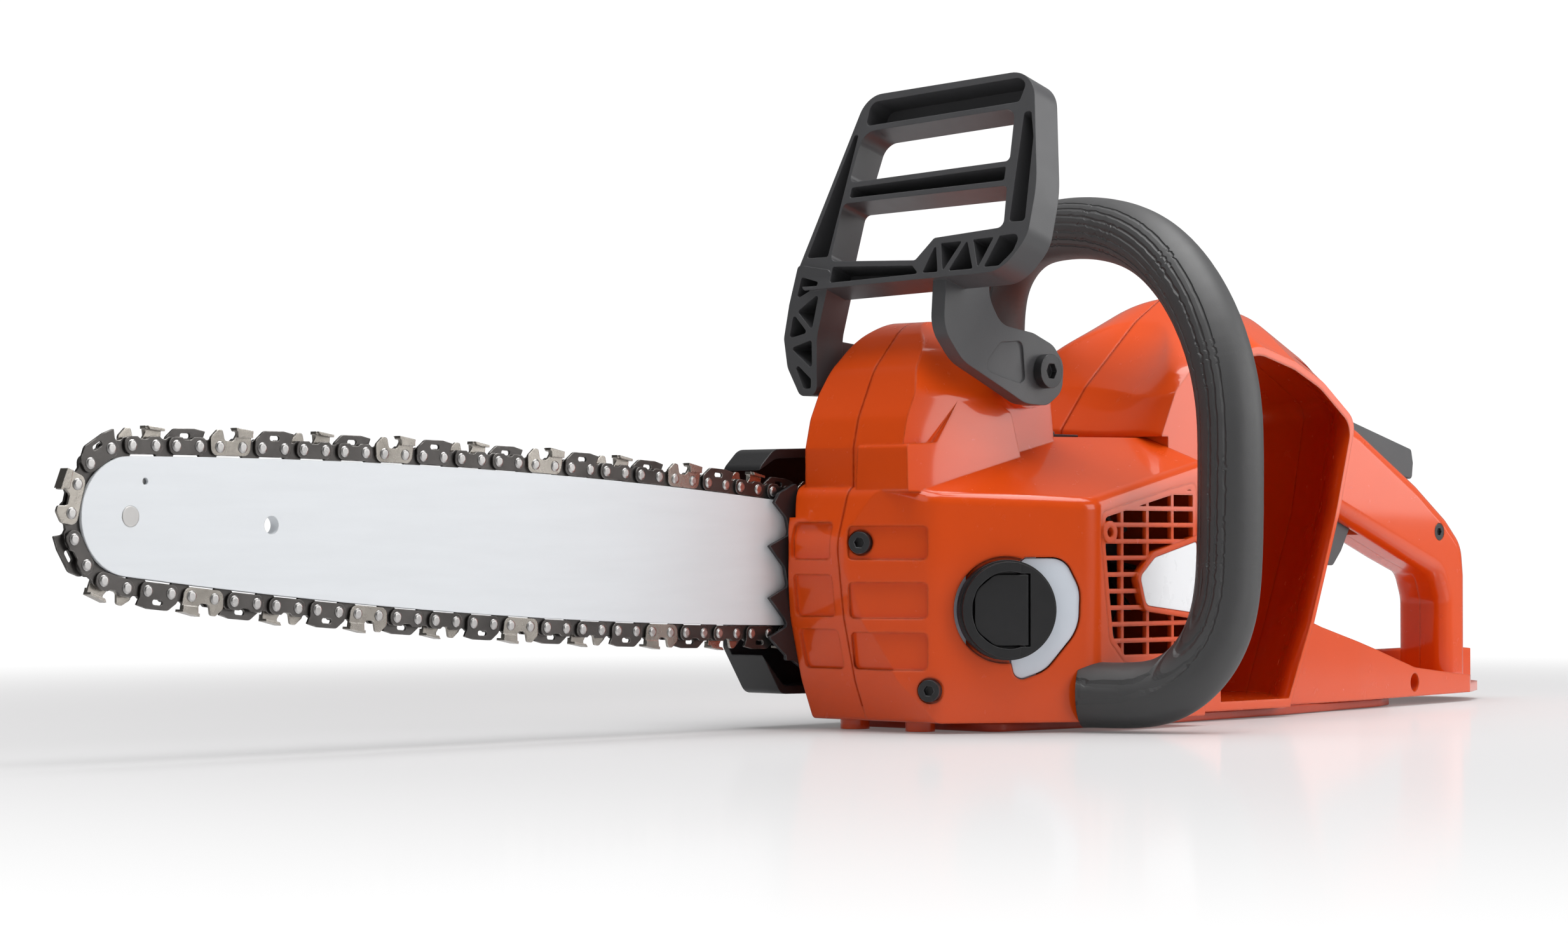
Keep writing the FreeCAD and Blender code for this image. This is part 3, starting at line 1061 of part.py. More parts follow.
def spike_bumper():
    """Toothed plate at the front of the casing and its two screws."""
    spikes = [(-186, 100, 1), (-196, 96, 1), (-199, 92, 0.4), (-192, 86, 3), (-190, 79, 2), (-202, 74.5, 0.3),
              (-193, 66, 2), (-191, 58, 2), (-202, 53.5, 0.3), (-193, 45, 2), (-191, 42, 2),
              (-202, 37.5, 0.3), (-192, 30, 2), (-181, 24, 1), (-178, 30, 1), (-190, 46, 4), (-190, 84, 4),
              (-184, 94, 2)]
    tabs = [side_slab([(-192, 86, 1), (-168, 86, 3), (-168, 97, 3), (-192, 97, 1)], 34.1, 35.7),
            side_slab([(-192, 28, 1), (-166, 28, 3), (-166, 40, 3), (-192, 40, 1)], 34.1, 35.7)]
    spots = [(-174, 91.5), (-172, 34)]
    screw_holes = [rod(x, 20, 60, z, 2.5) for x, z in spots]
    plate_with_tabs = fused([side_slab(spikes, 34.1, 35.7)] + tabs)
    feature("spike_bumper", plate_with_tabs.cut(Part.makeCompound(screw_holes)))
    screws = [hex_socket(Vector(x, 36.9, z), Y * -1, 4.0, 1.2, 2.5, 1.5) for x, z in spots]
    group("spike_screws", screws)


TENSIONER = BAR_FRAME.multVec(Vector(366.0, 0, -15.5))


def tensioner_and_catcher():
    """Tensioning pin on its screw, in the bar's lower hole, and the chain catcher below the bar."""
    at = TENSIONER
    pin = rod(at.x, 37.6, 43.6, at.z, 2.4)
    nut = box(at.x - 4, at.x + 4, 43.6, 49.6, at.z - 4, at.z + 4)
    thread = Part.makeCylinder(2.0, 44, Vector(at.x - 22, 46.6, at.z), X)
    head = Part.makeCylinder(3.6, 3, Vector(at.x - 25, 46.6, at.z), X)
    group("chain_tensioner", [pin.fuse(nut).cut(thread), fused([thread, head])])
    catcher = fused([box(-156, -132, 34.1, 35.7, 12, 30), box(-156, -150, 34.1, 42.4, 12, 14.5)])
    feature("chain_catcher", catcher)


def clutch_cover():
    """Side cover over the sprocket: sunk nut pocket, stud bosses and vent slots."""
    shape = [(-199, 33, 3), (-199, 106, 6), (-190, 114, 8), (-128, 116, 10), (-62, 104, 22), (-50, 84, 18),
             (-50, 36, 16), (-66, 18, 12), (-150, 13.5, 8), (-186, 14, 6)]
    inside = [(-203, 36, 2), (-203, 103, 2), (-189, 110, 5), (-128, 112.5, 8), (-64, 101, 19),
              (-53, 84, 15), (-53, 36, 13), (-67, 21, 10), (-150, 17, 6), (-184, 17.5, 4)]
    cover = side_slab(shape, 42.8, dim("cover_y") - 3).cut(side_slab(inside, 42.0, dim("cover_y") - 6))
    sunk = side_slab([(-184, 50, 8), (-126, 50, 8), (-126, 82, 8), (-184, 82, 8)], 59.9, 70)
    dish = side_slab([(-188, 46, 9), (-122, 46, 9), (-122, 86, 9), (-188, 86, 9)], 57.0, 62.9)
    bosses = [rod(at.x, 42.8, 59.8, at.z, 9.0) for at in STUD_POINTS]
    at = TENSIONER
    clear = box(at.x - 26, at.x + 24, 42, 51, at.z - 5, at.z + 5)
    cover = fused([cover, dish] + bosses).cut(sunk).cut(clear).cut(stud_holes())
    slots = [side_slab(oval(-112 + 9 * i, -107 + 9 * i, 40, 84, 2.4), 58, 70) for i in range(6)]
    feature("clutch_cover", cover.cut(Part.makeCompound(slots)))


# ---------------------------------------------------------------- controls, electrics, trim

def trigger_and_lockout():
    """Trigger and lockout lever with their pins, springs and switch."""
    half = dim("trigger_wide") / 2
    pin_hole = dim("pin_r") + dim("pin_fit")
    trigger = side_slab([(136.5, 108, 3), (147, 108, 3), (151, 96, 3), (164.8, 93, 2), (162, 84, 4),
                         (154, 72, 6), (147, 65, 3), (141, 66, 3), (143.5, 76, 10),
                         (136.5, 92, 8)], SPLIT - half, SPLIT + half)
    feature("trigger", trigger.cut(rod(142, -20, 40, 103, pin_hole)))
    half = dim("lockout_wide") / 2
    lever = side_slab([(142.5, 124, 2), (144, 134, 4), (161, 132.5, 10), (211, 120.5, 2), (212.6, 114, 2),
                       (211.5, 106, 2), (200, 108, 4), (158, 121, 6),
                       (150, 122, 2)], SPLIT - half, SPLIT + half)
    feature("lockout_lever", lever.cut(rod(149, -20, 40, 127, pin_hole)))
    group("control_pins", [rod(142, SPLIT - 11.2, SPLIT + 11.2, 103, dim("pin_r")),
                           rod(149, SPLIT - 11.2, SPLIT + 11.2, 127, dim("pin_r"))])
    feature("trigger_spring", coil(2.4, 0.5, 1.5, 7, Vector(153.5, SPLIT, 99.0), Vector(0.55, 0, 0.83)))
    feature("lockout_spring", coil(2.4, 0.5, 1.7, 4, Vector(176, SPLIT, 105), Vector(0.2, 0, 0.98)))
    switch = box(170, 190, SPLIT - 6, SPLIT + 6, 89, 100)
    feature("trigger_switch", fused([switch, box(168.2, 170, SPLIT - 2, SPLIT + 2, 91, 96)]))


def keypad():
    """Raised panel on the deck with two push buttons in wells."""
    deck_z = dim("deck_z")
    panel = slab([(-81, -10, 4), (-54, -10, 4), (-54, 27, 4), (-81, 27, 4)], deck_z, deck_z + 1.6)
    button_r = dim("button_r")
    wells = [Part.makeCylinder(button_r + 0.3, 6, Vector(-68, y, deck_z - 1.2)) for y in (0, 16)]
    feature("keypad_panel", panel.cut(Part.makeCompound(wells)))
    for name, y in (("power_button", 0.0), ("mode_button", 16.0)):
        button = doc.addObject("Part::Cylinder", name)
        button.Label = name
        button.setExpression("Radius", "Dims.button_r")
        button.Height = 2.1
        button.Placement = Placement(Vector(-68, y, deck_z + 0.9), Rotation())


def electrics():
    """Controller with its heat sink, the bay's contact block and the motor leads."""
    board = box(-41.0, -39.4, -38, 34, 22, 100)
    chips = [box(-39.4, -36.4, -30 + 14 * i, -22 + 14 * i, 30, 44) for i in range(5)]
    caps = [Part.makeCylinder(5.5, 15, Vector(-39.4, y, 84), X) for y in (-28, -14, 0)]
    feature("controller_board", fused([board] + chips + caps))
    fins = [box(-35.6, -24, -34 + 6 * i, -32.2 + 6 * i, 48, 76) for i in range(11)]
    feature("controller_heat_sink", fused([box(-39.4, -35.6, -34, 30, 48, 76)] + fins))
    block = fused([box(6, 60, 30.2, 37, 52, 96), box(10, 56, 24, 30.2, 56, 64)])
    blades = [box(16 + 9 * i, 17 + 9 * i, 14, 30.2, 68, 90) for i in range(4)]
    feature("battery_contacts", fused([block] + blades))


def base_plate():
    """Flat plate the saw stands on."""
    plan = [(-152, -42, 8), (-70, -50, 12), (52, -41, 8), (150, -26, 20), (170, -18, 6), (170, 26, 6),
            (150, 33, 10), (-152, 31, 6)]
    base = doc.addObject("PartDesign::Body", "base_plate")
    base.Label = "base_plate"
    drawing = sketch(base, "base_outline", [plan])
    pad = base.newObject("PartDesign::Pad", "base_pad")
    pad.Profile = drawing
    pad.setExpression("Length", "Dims.base_thick")


def intake_grille():
    """Air grille of slats and bars with a screw boss and a shield, and the plain label on the shield."""
    face = side_slab(GRILLE_OUTLINE, LEFT_Y, LEFT_Y + 2.4)
    slats = [box(-125, -45, LEFT_Y, LEFT_Y + 2.4, 28.5 + 6.7 * i, 30.4 + 6.7 * i) for i in range(11)]
    bars = [box(x, x + 1.9, LEFT_Y + 0.4, LEFT_Y + 2.4, 20, 110) for x in (-104, -87, -70)]
    within = [(-114.5, 86, 2), (-114.5, 74, 2), (-109.6, 37.5, 5), (-101, 29.4, 4), (-55.4, 27.4, 2),
              (-55.4, 98.2, 2), (-70, 95.4, 6)]
    rim = face.cut(side_slab(within, LEFT_Y - 1, LEFT_Y + 4))
    boss = rod(-112, LEFT_Y - 0.6, LEFT_Y + 2.4, 80, 4.6)
    shield = side_slab([(-95, 62, 3), (-84, 72, 6), (-53, 79, 1), (-53, 44, 1), (-90, 48, 4)],
                       LEFT_Y - 1.2, LEFT_Y + 2.4)
    recess = side_slab([(-93, 62, 3), (-83, 70, 6), (-54, 76.6, 1), (-54, 46.4, 1), (-89, 50, 4)],
                       LEFT_Y - 2, LEFT_Y - 0.6)
    grille = fused([rim] + [one.common(face) for one in slats + bars] + [boss, shield])
    grille = grille.cut(recess).cut(rod(-112, LEFT_Y - 2, LEFT_Y + 4, 80, 2.0))
    feature("intake_grille", max(grille.Solids, key=lambda one: one.Volume))
    label = [(-92.7, 62, 3), (-82.8, 69.7, 6), (-54.3, 76.2, 1), (-54.3, 46.7, 1), (-88.8, 50.3, 4)]
    feature("name_plate", side_slab(label, LEFT_Y - 1.1, LEFT_Y - 0.6))


def casing_screws():
    """Screws of the casings: two at the front, one at the rear grip and two at the front handle's foot."""
    spots = [RIB_FRAME.multVec(Vector(u, v, SCREW_SEAT_W + 4.0)) for u, v in CASING_SCREWS]
    front = [hex_socket(spot, RIB_OUT * -1, dim("screw_head_r"), 4.0, 2.4, 0.01) for spot in spots]
    rear = hex_socket(Vector(226, -9.4, 81), Y, 4.0, 2.0, 2.0, 2.0)
    handle = [hex_socket(Vector(-28, 54.0, z), Y * -1, 4.5, 2.0, 2.4, 8.0) for z in (103, 117)]
    group("casing_screws", front + [rear] + handle)


# ---------------------------------------------------------------- assembly

guide_bar()
nose_wheel()
chain()
motor()
cooling_fan()
sprocket_and_brake()
hand_guard()
guard_pivot()
oil_tank()
oil_cap()
oil_pump()
bar_fasteners()
spike_bumper()
tensioner_and_catcher()
clutch_cover()
trigger_and_lockout()
keypad()
electrics()
base_plate()
intake_grille()
casing_screws()

handle_core, handle_skin = front_handle()
feature("front_handle_tube", handle_core)
feature("front_handle_grip", handle_skin)
casing = motor_casing()
casing = casing.cut(Part.makeCompound(casing_openings()))
halves(casing, "motor_housing_left", "motor_housing_right")
halves(rear_casing(), "rear_housing_left", "rear_housing_right")

doc.recompute()
parts = [one for one in doc.Objects if one.TypeId in ("Part::Feature", "PartDesign::Body", "Part::Cylinder")]
for one in doc.Objects:
    if "Invalid" in one.State or "Error" in one.State:
        raise RuntimeError("object not built: " + one.Label)
for one in parts:
    if one.Shape.isNull() or not one.Shape.isValid():
        raise RuntimeError("bad shape: " + one.Label)
for one in parts:
    one.Shape.exportStep("parts/%s.step" % one.Label)
print(len(parts), "parts written")
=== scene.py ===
import json
import math
import bpy
import numpy as np
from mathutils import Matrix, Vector

# Studio picture of a battery chainsaw. Metres, +Z up, the bar toward -X and its side +Y.

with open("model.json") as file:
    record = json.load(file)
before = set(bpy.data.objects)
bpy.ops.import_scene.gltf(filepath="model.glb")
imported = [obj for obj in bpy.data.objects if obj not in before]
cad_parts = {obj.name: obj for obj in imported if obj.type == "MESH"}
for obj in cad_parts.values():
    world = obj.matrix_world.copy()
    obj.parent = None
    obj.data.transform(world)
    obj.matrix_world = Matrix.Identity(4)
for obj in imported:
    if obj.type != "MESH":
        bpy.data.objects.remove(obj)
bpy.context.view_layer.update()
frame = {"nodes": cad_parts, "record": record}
nodes = frame["nodes"]
scene = bpy.context.scene
MM = 0.001


# ---------------------------------------------------------------- node helpers

def ramp_between(tree, value, low, high):
    """Value remapped so that low gives 0 and high gives 1, clamped."""
    node = tree.nodes.new("ShaderNodeMapRange")
    node.inputs["From Min"].default_value = low
    node.inputs["From Max"].default_value = high
    tree.links.new(value, node.inputs["Value"])
    return node.outputs["Result"]


def smooth_ramp(tree, value, low, high, start=0.0, end=1.0):
    """Value eased from start at low to end at high."""
    node = tree.nodes.new("ShaderNodeMapRange")
    node.interpolation_type = "SMOOTHSTEP"
    node.inputs["From Min"].default_value = low
    node.inputs["From Max"].default_value = high
    node.inputs["To Min"].default_value = start
    node.inputs["To Max"].default_value = end
    tree.links.new(value, node.inputs["Value"])
    return node.outputs["Result"]


def worked(tree, operation, *values):
    """Math node on sockets or numbers."""
    node = tree.nodes.new("ShaderNodeMath")
    node.operation = operation
    for index, value in enumerate(values):
        if isinstance(value, (int, float)):
            node.inputs[index].default_value = value
        else:
            tree.links.new(value, node.inputs[index])
    return node.outputs[0]


def times(tree, first, second):
    """Product of two sockets or numbers."""
    return worked(tree, "MULTIPLY", first, second)


def dotted(tree, first, second):
    """Dot product of a vector socket with another one or with a fixed direction."""
    node = tree.nodes.new("ShaderNodeVectorMath")
    node.operation = "DOT_PRODUCT"
    tree.links.new(first, node.inputs[0])
    if isinstance(second, tuple):
        node.inputs[1].default_value = second
    else:
        tree.links.new(second, node.inputs[1])
    return node.outputs["Value"]


def blended(tree, factor, first, second):
    """Mix of two shaders by a number or a socket."""
    node = tree.nodes.new("ShaderNodeMixShader")
    if isinstance(factor, float):
        node.inputs[0].default_value = factor
    else:
        tree.links.new(factor, node.inputs[0])
    tree.links.new(first, node.inputs[1])
    tree.links.new(second, node.inputs[2])
    return node.outputs[0]


def emptied(owner):
    """Node tree of a world or material, with nothing in it."""
    owner.use_nodes = True
    owner.node_tree.nodes.clear()
    return owner.node_tree


# ---------------------------------------------------------------- camera, room, floor, light

VIEW_YAW = math.radians(47.58)
VIEW_PITCH = math.radians(1.09)
WHITE = (1.0, 1.0, 1.0, 1.0)
PAST_WHITE = 1.05
FLOOR_REACH = 9.0
FLOOR_DROP = 0.0002


def make_camera():
    """Long lens a hand's width above the floor, ahead of the saw and to its left."""
    data = bpy.data.cameras.new("camera")
    data.lens = 85.3
    data.sensor_width = 36.0
    data.clip_end = 60.0
    camera = bpy.data.objects.new("camera", data)
    camera.location = (-1.3055, -0.982, 0.076)
    camera.rotation_euler = (math.pi / 2 + VIEW_PITCH, 0.0, -VIEW_YAW)
    scene.collection.objects.link(camera)
    scene.camera = camera


def make_world():
    """White backdrop for the camera; a room that is dim behind it and bright ahead for all else."""
    world = bpy.data.worlds.new("studio")
    scene.world = world
    tree = emptied(world)
    seen = tree.nodes.new("ShaderNodeBackground")
    seen.inputs["Color"].default_value = WHITE
    seen.inputs["Strength"].default_value = PAST_WHITE
    room = tree.nodes.new("ShaderNodeBackground")
    room.inputs["Color"].default_value = WHITE
    coords = tree.nodes.new("ShaderNodeTexCoord")
    ahead = dotted(tree, coords.outputs["Generated"], (math.sin(VIEW_YAW), math.cos(VIEW_YAW), 0.0))
    level = smooth_ramp(tree, ahead, -0.1, 0.75, start=0.16, end=0.95)
    path = tree.nodes.new("ShaderNodeLightPath")
    mirrored = ramp_between(tree, path.outputs["Is Glossy Ray"], 1.35, 0.0)
    tree.links.new(times(tree, level, mirrored), room.inputs["Strength"])
    out = tree.nodes.new("ShaderNodeOutputWorld")
    whole = blended(tree, path.outputs["Is Camera Ray"], room.outputs[0], seen.outputs[0])
    tree.links.new(whole, out.inputs["Surface"])


def glossy_white(tree):
    """Floor near the saw: a lifted matt white under a soft mirror."""
    matt = tree.nodes.new("ShaderNodeBsdfDiffuse")
    matt.inputs["Color"].default_value = (0.52, 0.515, 0.52, 1.0)
    lift = tree.nodes.new("ShaderNodeEmission")
    lift.inputs["Strength"].default_value = 0.13
    both = tree.nodes.new("ShaderNodeAddShader")
    tree.links.new(matt.outputs[0], both.inputs[0])
    tree.links.new(lift.outputs[0], both.inputs[1])
    gloss = tree.nodes.new("ShaderNodeBsdfGlossy")
    gloss.inputs["Roughness"].default_value = 0.10
    return blended(tree, 0.26, both.outputs[0], gloss.outputs[0])


def floor_material():
    """Gloss floor near the saw, plain white further off; mirrors see that white dimmed."""
    material = bpy.data.materials.new("floor_white")
    tree = emptied(material)
    white = tree.nodes.new("ShaderNodeEmission")
    path = tree.nodes.new("ShaderNodeLightPath")
    seen = ramp_between(tree, path.outputs["Is Glossy Ray"], 1.5, 0.0)
    tree.links.new(times(tree, seen, PAST_WHITE), white.inputs["Strength"])
    coords = tree.nodes.new("ShaderNodeTexCoord")
    away = tree.nodes.new("ShaderNodeVectorMath")
    away.operation = "LENGTH"
    tree.links.new(coords.outputs["Object"], away.inputs[0])
    fade = smooth_ramp(tree, away.outputs["Value"], 0.30, 1.05)
    out = tree.nodes.new("ShaderNodeOutputMaterial")
    tree.links.new(blended(tree, fade, glossy_white(tree), white.outputs[0]), out.inputs["Surface"])
    return material


def make_floor():
    """Large flat floor just under the saw's feet."""
    corners = [(-1, -1), (1, -1), (1, 1), (-1, 1)]
    mesh = bpy.data.meshes.new("floor")
    mesh.from_pydata([(x * FLOOR_REACH, y * FLOOR_REACH, 0) for x, y in corners], [], [(0, 1, 2, 3)])
    mesh.materials.append(floor_material())
    floor = bpy.data.objects.new("floor", mesh)
    floor.location = (0.0, 0.0, -FLOOR_DROP)
    scene.collection.objects.link(floor)


def area_light(name, place, target, wide, tall, power):
    """Soft box aimed at a point."""
    data = bpy.data.lights.new(name, "AREA")
    data.shape = "RECTANGLE"
    data.size = wide
    data.size_y = tall
    data.energy = power
    lamp = bpy.data.objects.new(name, data)
    lamp.location = place
    lamp.rotation_euler = (Vector(target) - Vector(place)).to_track_quat("-Z", "Y").to_euler()
    scene.collection.objects.link(lamp)


def make_lights():
    """Overhead box, weak fill ahead of the saw, a box on its left and one at its left rear."""
    area_light("overhead", (-0.05, -0.12, 1.20), (-0.03, -0.05, 0.05), wide=1.3, tall=1.0, power=21.0)
    area_light("front_left", (-1.25, -0.25, 0.75), (-0.1, -0.05, 0.08), wide=0.7, tall=0.9, power=2.2)
    area_light("left_side", (0.25, -1.45, 0.60), (0.0, 0.0, 0.08), wide=0.8, tall=1.0, power=8.5)
    area_light("left_rear", (1.20, -1.00, 0.62), (0.05, -0.04, 0.12), wide=0.9, tall=1.1, power=8.5)


# ---------------------------------------------------------------- parts of a finish

def noise(tree, vector, scale, detail=3.0):
    """Noise texture's value."""
    node = tree.nodes.new("ShaderNodeTexNoise")
    node.inputs["Scale"].default_value = scale
    node.inputs["Detail"].default_value = detail
    node.inputs["Roughness"].default_value = 0.55
    tree.links.new(vector, node.inputs["Vector"])
    return node.outputs["Fac"]


def colour_socket(sockets, name):
    """The colour socket of that name; a mix node has others with the same name."""
    return [socket for socket in sockets if socket.name == name and socket.type == "RGBA"][0]


def mixed(tree, factor, first, second):
    """Colour mix; first and second are sockets or RGB triples."""
    node = tree.nodes.new("ShaderNodeMix")
    node.data_type = "RGBA"
    tree.links.new(factor, node.inputs["Factor"])
    for name, value in (("A", first), ("B", second)):
        target = colour_socket(node.inputs, name)
        if isinstance(value, tuple):
            target.default_value = (*value, 1.0)
        else:
            tree.links.new(value, target)
    return colour_socket(node.outputs, "Result")


def shade(colour, factor):
    """Colour scaled in brightness."""
    return tuple(min(1.0, part * factor) for part in colour)


def softened_corners(tree, radius):
    """Surface direction with its sharp corners eased over that radius."""
    corner = tree.nodes.new("ShaderNodeBevel")
    corner.samples = 4
    corner.inputs["Radius"].default_value = radius
    return corner.outputs["Normal"]


def worn_edges(tree, at, eased, tone, wear, amount):
    """Tone rubbed toward the wear colour in patches along the corners."""
    geometry = tree.nodes.new("ShaderNodeNewGeometry")
    edge = ramp_between(tree, dotted(tree, eased, geometry.outputs["Normal"]), 0.985, 0.86)
    patch = ramp_between(tree, noise(tree, at, 260.0), 0.42, 0.62)
    return mixed(tree, times(tree, times(tree, edge, patch), amount), tone, wear)


def varied_roughness(tree, at, rough, spread):
    """Roughness that drifts by spread either way."""
    node = tree.nodes.new("ShaderNodeMapRange")
    node.inputs["To Min"].default_value = max(0.02, rough - spread)
    node.inputs["To Max"].default_value = rough + spread
    tree.links.new(noise(tree, at, 140.0, 4.0), node.inputs["Value"])
    return node.outputs["Result"]


def bumped(tree, height, depth, under):
    """Surface direction under, with a height of that depth laid over it."""
    node = tree.nodes.new("ShaderNodeBump")
    node.inputs["Distance"].default_value = depth
    tree.links.new(height, node.inputs["Height"])
    tree.links.new(under, node.inputs["Normal"])
    return node.outputs["Normal"]


def surface(name, colour, rough, spread, mottle, grain, depth, metal=0.0, coat=0.0, wear=None,
            wear_amount=0.5, stretch=(1.0, 1.0, 1.0), shine=0.5, relief=None, soft=0.5):
    """General finish: mottled colour, worn edges, varied roughness and a fine grain.

    mottle is the brightness of the darker patches, grain a scale per metre, depth and soft are in
    millimetres. relief, if given, builds a coarser height from (tree, coords) and returns it with its
    depth in metres.
    """
    material = bpy.data.materials.new(name)
    material.use_nodes = True
    tree = material.node_tree
    body = tree.nodes["Principled BSDF"]
    coords = tree.nodes.new("ShaderNodeTexCoord")
    mapping = tree.nodes.new("ShaderNodeMapping")
    mapping.inputs["Scale"].default_value = stretch
    tree.links.new(coords.outputs["Object"], mapping.inputs["Vector"])
    at = mapping.outputs["Vector"]
    under = softened_corners(tree, soft * MM)
    tone = mixed(tree, ramp_between(tree, noise(tree, at, 55.0), 0.35, 0.7), colour, shade(colour, mottle))
    if wear:
        tone = worn_edges(tree, at, under, tone, wear, wear_amount)
    if relief:
        height, reach = relief(tree, coords)
        under = bumped(tree, height, reach, under)
    tree.links.new(tone, body.inputs["Base Color"])
    tree.links.new(varied_roughness(tree, at, rough, spread), body.inputs["Roughness"])
    tree.links.new(bumped(tree, noise(tree, at, grain, 2.0), depth * MM, under), body.inputs["Normal"])
    body.inputs["Specular IOR Level"].default_value = shine
    body.inputs["Metallic"].default_value = metal
    if coat:
        body.inputs["Coat Weight"].default_value = coat
        body.inputs["Coat Roughness"].default_value = 0.06
    return material


# ---------------------------------------------------------------- grooves of the front handle

# Angles are measured round the tube from its front face; the depth is in millimetres.
GROOVE_PITCH = math.radians(14.0)
GROOVED_HALF_ANGLE = math.radians(52.0)
GROOVE_DEPTH = 0.7


def flattest_direction(name):
    """Direction in which a node's points spread least: across the plane of a bent tube."""
    points = np.array([vertex.co for vertex in nodes[name].data.vertices])
    spread = np.linalg.svd(points - points.mean(axis=0), full_matrices=False)[2]
    across = Vector(spread[2])
    return tuple(across if across.x < 0 else -across)


def long_grooves(tree, coords):
    """Grooves along the front face of the handle, by the direction its skin faces."""
    facing = dotted(tree, coords.outputs["Normal"], flattest_direction("front_handle_grip"))
    turn = worked(tree, "ARCCOSINE", worked(tree, "MINIMUM", worked(tree, "MAXIMUM", facing, -1.0), 1.0))
    wave = worked(tree, "PINGPONG", turn, GROOVE_PITCH / 2)
    ridge = ramp_between(tree, wave, math.radians(0.6), math.radians(3.4))
    inside = ramp_between(tree, turn, GROOVED_HALF_ANGLE, GROOVED_HALF_ANGLE - math.radians(6.0))
    sunk = times(tree, worked(tree, "SUBTRACT", 1.0, ridge), inside)
    return worked(tree, "SUBTRACT", 1.0, sunk), GROOVE_DEPTH * MM


# ---------------------------------------------------------------- plastics and rubber

def orange_plastic():
    """Gloss moulded casing."""
    return surface("orange_plastic", (0.66, 0.066, 0.004), rough=0.26, spread=0.04, mottle=0.985,
                   grain=420.0, depth=0.006, coat=0.6, shine=0.22, soft=1.6,
                   wear=(0.80, 0.14, 0.02), wear_amount=0.35)


def dark_orange_plastic():
    """Moulded base plate, darker than the casing."""
    return surface("dark_orange_plastic", (0.40, 0.035, 0.004), rough=0.34, spread=0.06, mottle=0.9,
                   grain=700.0, depth=0.02, wear=(0.7, 0.16, 0.05), wear_amount=0.4)


def grey_plastic():
    """Fine textured charcoal moulding of the guard, trigger, lockout and buttons."""
    return surface("grey_plastic", (0.058, 0.058, 0.061), rough=0.40, spread=0.05, mottle=0.94,
                   grain=2600.0, depth=0.03, wear=(0.12, 0.12, 0.125), wear_amount=0.4)


def black_plastic():
    """Satin black moulding of the clutch cover, oil cap, keypad and small inner parts."""
    return surface("black_plastic", (0.013, 0.013, 0.014), rough=0.36, spread=0.07, mottle=0.85,
                   grain=2200.0, depth=0.03, wear=(0.06, 0.06, 0.065), wear_amount=0.5)


def grip_rubber():
    """Moulded rubber, grooved along the front of the handle."""
    return surface("grip_rubber", (0.046, 0.046, 0.047), rough=0.50, spread=0.05, mottle=0.93,
                   grain=2600.0, depth=0.03, wear=(0.09, 0.09, 0.094), wear_amount=0.3,
                   relief=long_grooves)


def tank_plastic():
    """Milky oil tank."""
    return surface("tank_plastic", (0.66, 0.71, 0.78), rough=0.36, spread=0.04, mottle=0.97,
                   grain=1100.0, depth=0.02)


def label():
    """Plain white film."""
    return surface("label", (0.82, 0.83, 0.85), rough=0.28, spread=0.03, mottle=0.98,
                   grain=900.0, depth=0.006, coat=0.3)


def board_green():
    """Coated circuit board."""
    return surface("board_green", (0.03, 0.16, 0.06), rough=0.32, spread=0.05, mottle=0.85,
                   grain=1800.0, depth=0.03)


# ---------------------------------------------------------------- metals

def bar_paint():
    """Pale painted bar, brushed along its length, steel showing at rubbed edges."""
    return surface("bar_paint", (0.68, 0.705, 0.73), rough=0.38, spread=0.05, mottle=0.965,
                   grain=260.0, depth=0.01, wear=(0.30, 0.30, 0.31), wear_amount=0.7,
                   stretch=(0.35, 1.0, 3.0))


def chain_steel():
    """Dark oiled links."""
    return surface("chain_steel", (0.10, 0.094, 0.09), rough=0.36, spread=0.1, mottle=0.6,
                   grain=900.0, depth=0.04, metal=0.9, wear=(0.6, 0.58, 0.55), wear_amount=0.8)


def cutter_chrome():
    """Plated cutters."""
    return surface("cutter_chrome", (0.42, 0.39, 0.35), rough=0.27, spread=0.1, mottle=0.7,
                   grain=700.0, depth=0.03, metal=1.0, wear=(0.9, 0.88, 0.84), wear_amount=0.6)


def bright_steel():
    """Machined steel."""
    return surface("bright_steel", (0.52, 0.51, 0.50), rough=0.30, spread=0.08, mottle=0.85,
                   grain=1200.0, depth=0.02, metal=1.0, wear=(0.8, 0.8, 0.8), wear_amount=0.6)


def black_steel():
    """Blackened screws and spikes."""
    return surface("black_steel", (0.030, 0.030, 0.032), rough=0.38, spread=0.08, mottle=0.8,
                   grain=1500.0, depth=0.03, metal=0.3, wear=(0.22, 0.22, 0.23), wear_amount=0.7)


def cast_aluminium():
    """Bare casting."""
    return surface("cast_aluminium", (0.50, 0.51, 0.52), rough=0.45, spread=0.08, mottle=0.9,
                   grain=1600.0, depth=0.06, metal=1.0)


def copper():
    """Enamelled winding wire."""
    return surface("copper", (0.55, 0.22, 0.09), rough=0.35, spread=0.06, mottle=0.85,
                   grain=1800.0, depth=0.06, metal=1.0)


def magnet():
    """Nickel plated magnets."""
    return surface("magnet", (0.5, 0.5, 0.51), rough=0.22, spread=0.05, mottle=0.9,
                   grain=900.0, depth=0.01, metal=1.0)


# ---------------------------------------------------------------- finishing the CAD pieces

MAKERS = (orange_plastic, dark_orange_plastic, grey_plastic, black_plastic, grip_rubber, bar_paint,
          chain_steel, cutter_chrome, bright_steel, black_steel, cast_aluminium, tank_plastic,
          copper, magnet, label, board_green)
FINISHES = {maker.__name__: maker() for maker in MAKERS}

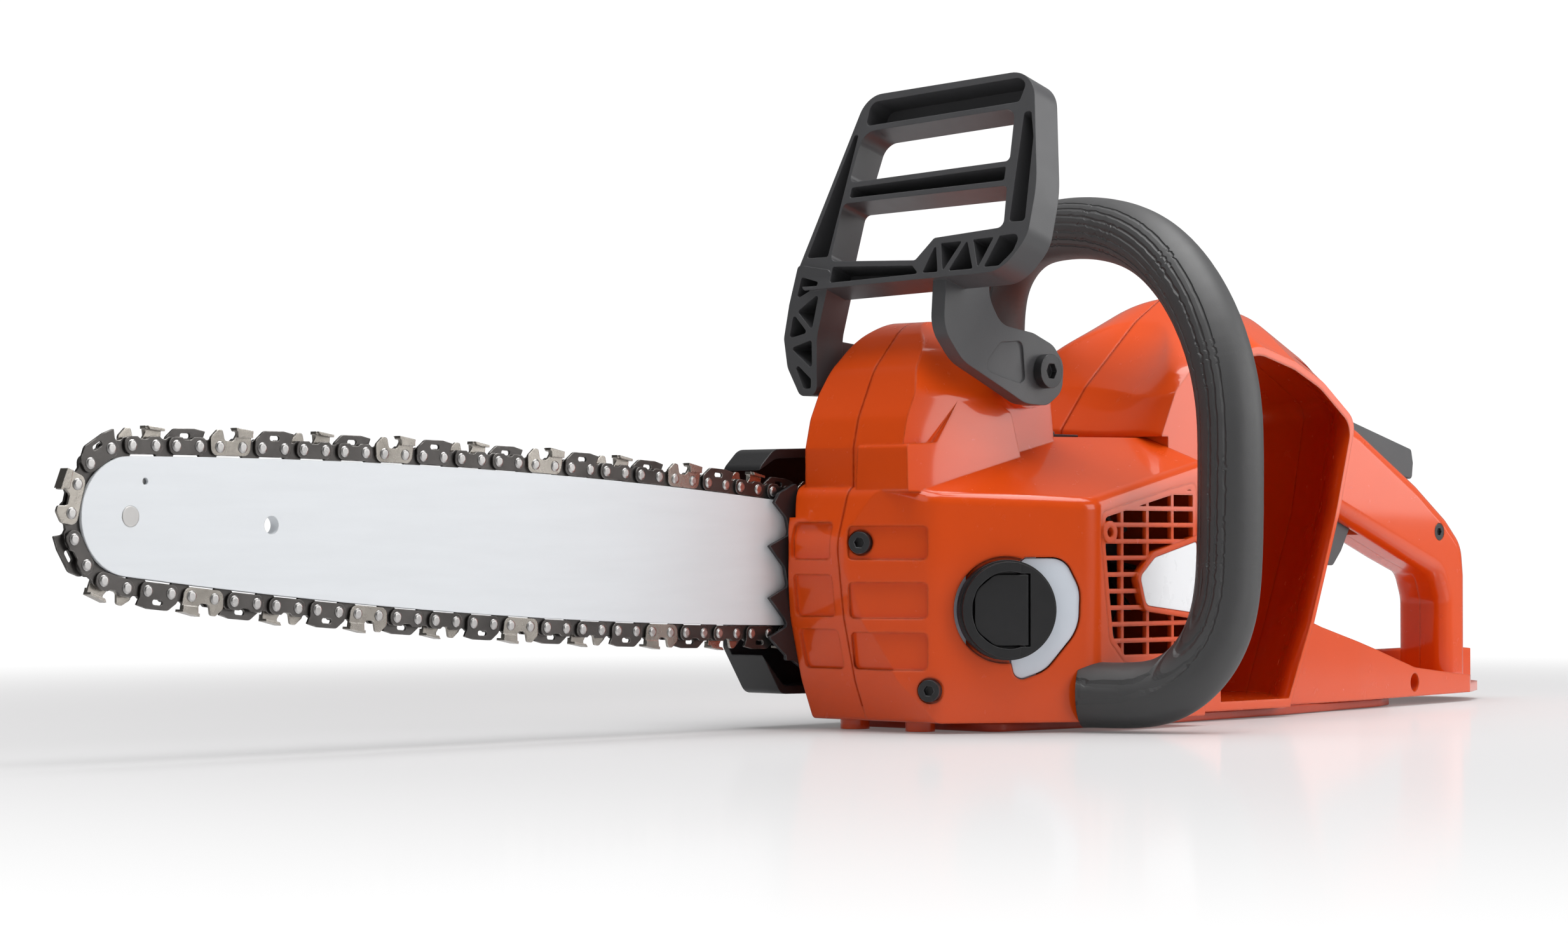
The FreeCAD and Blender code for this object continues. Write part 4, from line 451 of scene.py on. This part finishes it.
# Edge radius of each piece, in millimetres. Pieces that are not named keep their edges.
ROUND = {
    "motor_housing_left": 1.4, "motor_housing_right": 1.4, "rear_housing_left": 1.8,
    "rear_housing_right": 1.8, "base_plate": 0.8, "clutch_cover": 1.5, "oil_tank": 0.5,
    "intake_grille": 0.35, "name_plate": 0.15, "keypad_panel": 0.6, "power_button": 0.6,
    "mode_button": 0.6, "trigger": 1.4, "lockout_lever": 1.6, "hand_guard": 0.9,
    "guard_pivot_bolts": 0.5, "front_handle_tube": 0.6, "front_handle_grip": 1.0, "oil_cap": 0.5,
    "oil_cap_lever": 0.5, "casing_screws": 0.35, "spike_bumper": 0.3, "spike_screws": 0.3,
    "chain_catcher": 0.4, "bar_nuts": 0.5, "bar_studs": 0.4, "guide_bar": 0.25, "nose_rivet": 0.2,
    "chain_tie_straps": 0.16, "chain_bumper_straps": 0.16, "chain_drive_links": 0.12,
    "chain_left_cutters": 0.14, "chain_right_cutters": 0.14, "chain_rivets": 0.14,
}


def finish_nodes():
    """Every CAD node gets its slot's finish; those with rounded edges are shaded smooth."""
    slots = {row["node"]: row["material_slot"] for row in frame["record"]["subparts"]}
    for name, node in nodes.items():
        node.data.materials.clear()
        node.data.materials.append(FINISHES[slots[name]])
        for polygon in node.data.polygons:
            polygon.material_index = 0
            polygon.use_smooth = name in ROUND


def round_edges(node, radius):
    """Small fillets on the sharp edges, as a moulding or a stamping has them."""
    weld = node.modifiers.new("weld", "WELD")
    weld.merge_threshold = 0.01 * MM
    flat = node.modifiers.new("flat", "DECIMATE")
    flat.decimate_type = "DISSOLVE"
    flat.angle_limit = math.radians(0.4)
    bevel = node.modifiers.new("fillet", "BEVEL")
    bevel.width = radius * MM
    bevel.segments = 2
    bevel.limit_method = "ANGLE"
    bevel.angle_limit = math.radians(28)
    bevel.use_clamp_overlap = True
    node.modifiers.new("normals", "WEIGHTED_NORMAL")


scene.view_settings.view_transform = "Standard"
make_camera()
make_world()
make_floor()
make_lights()
finish_nodes()
for piece, radius in ROUND.items():
    round_edges(nodes[piece], radius)
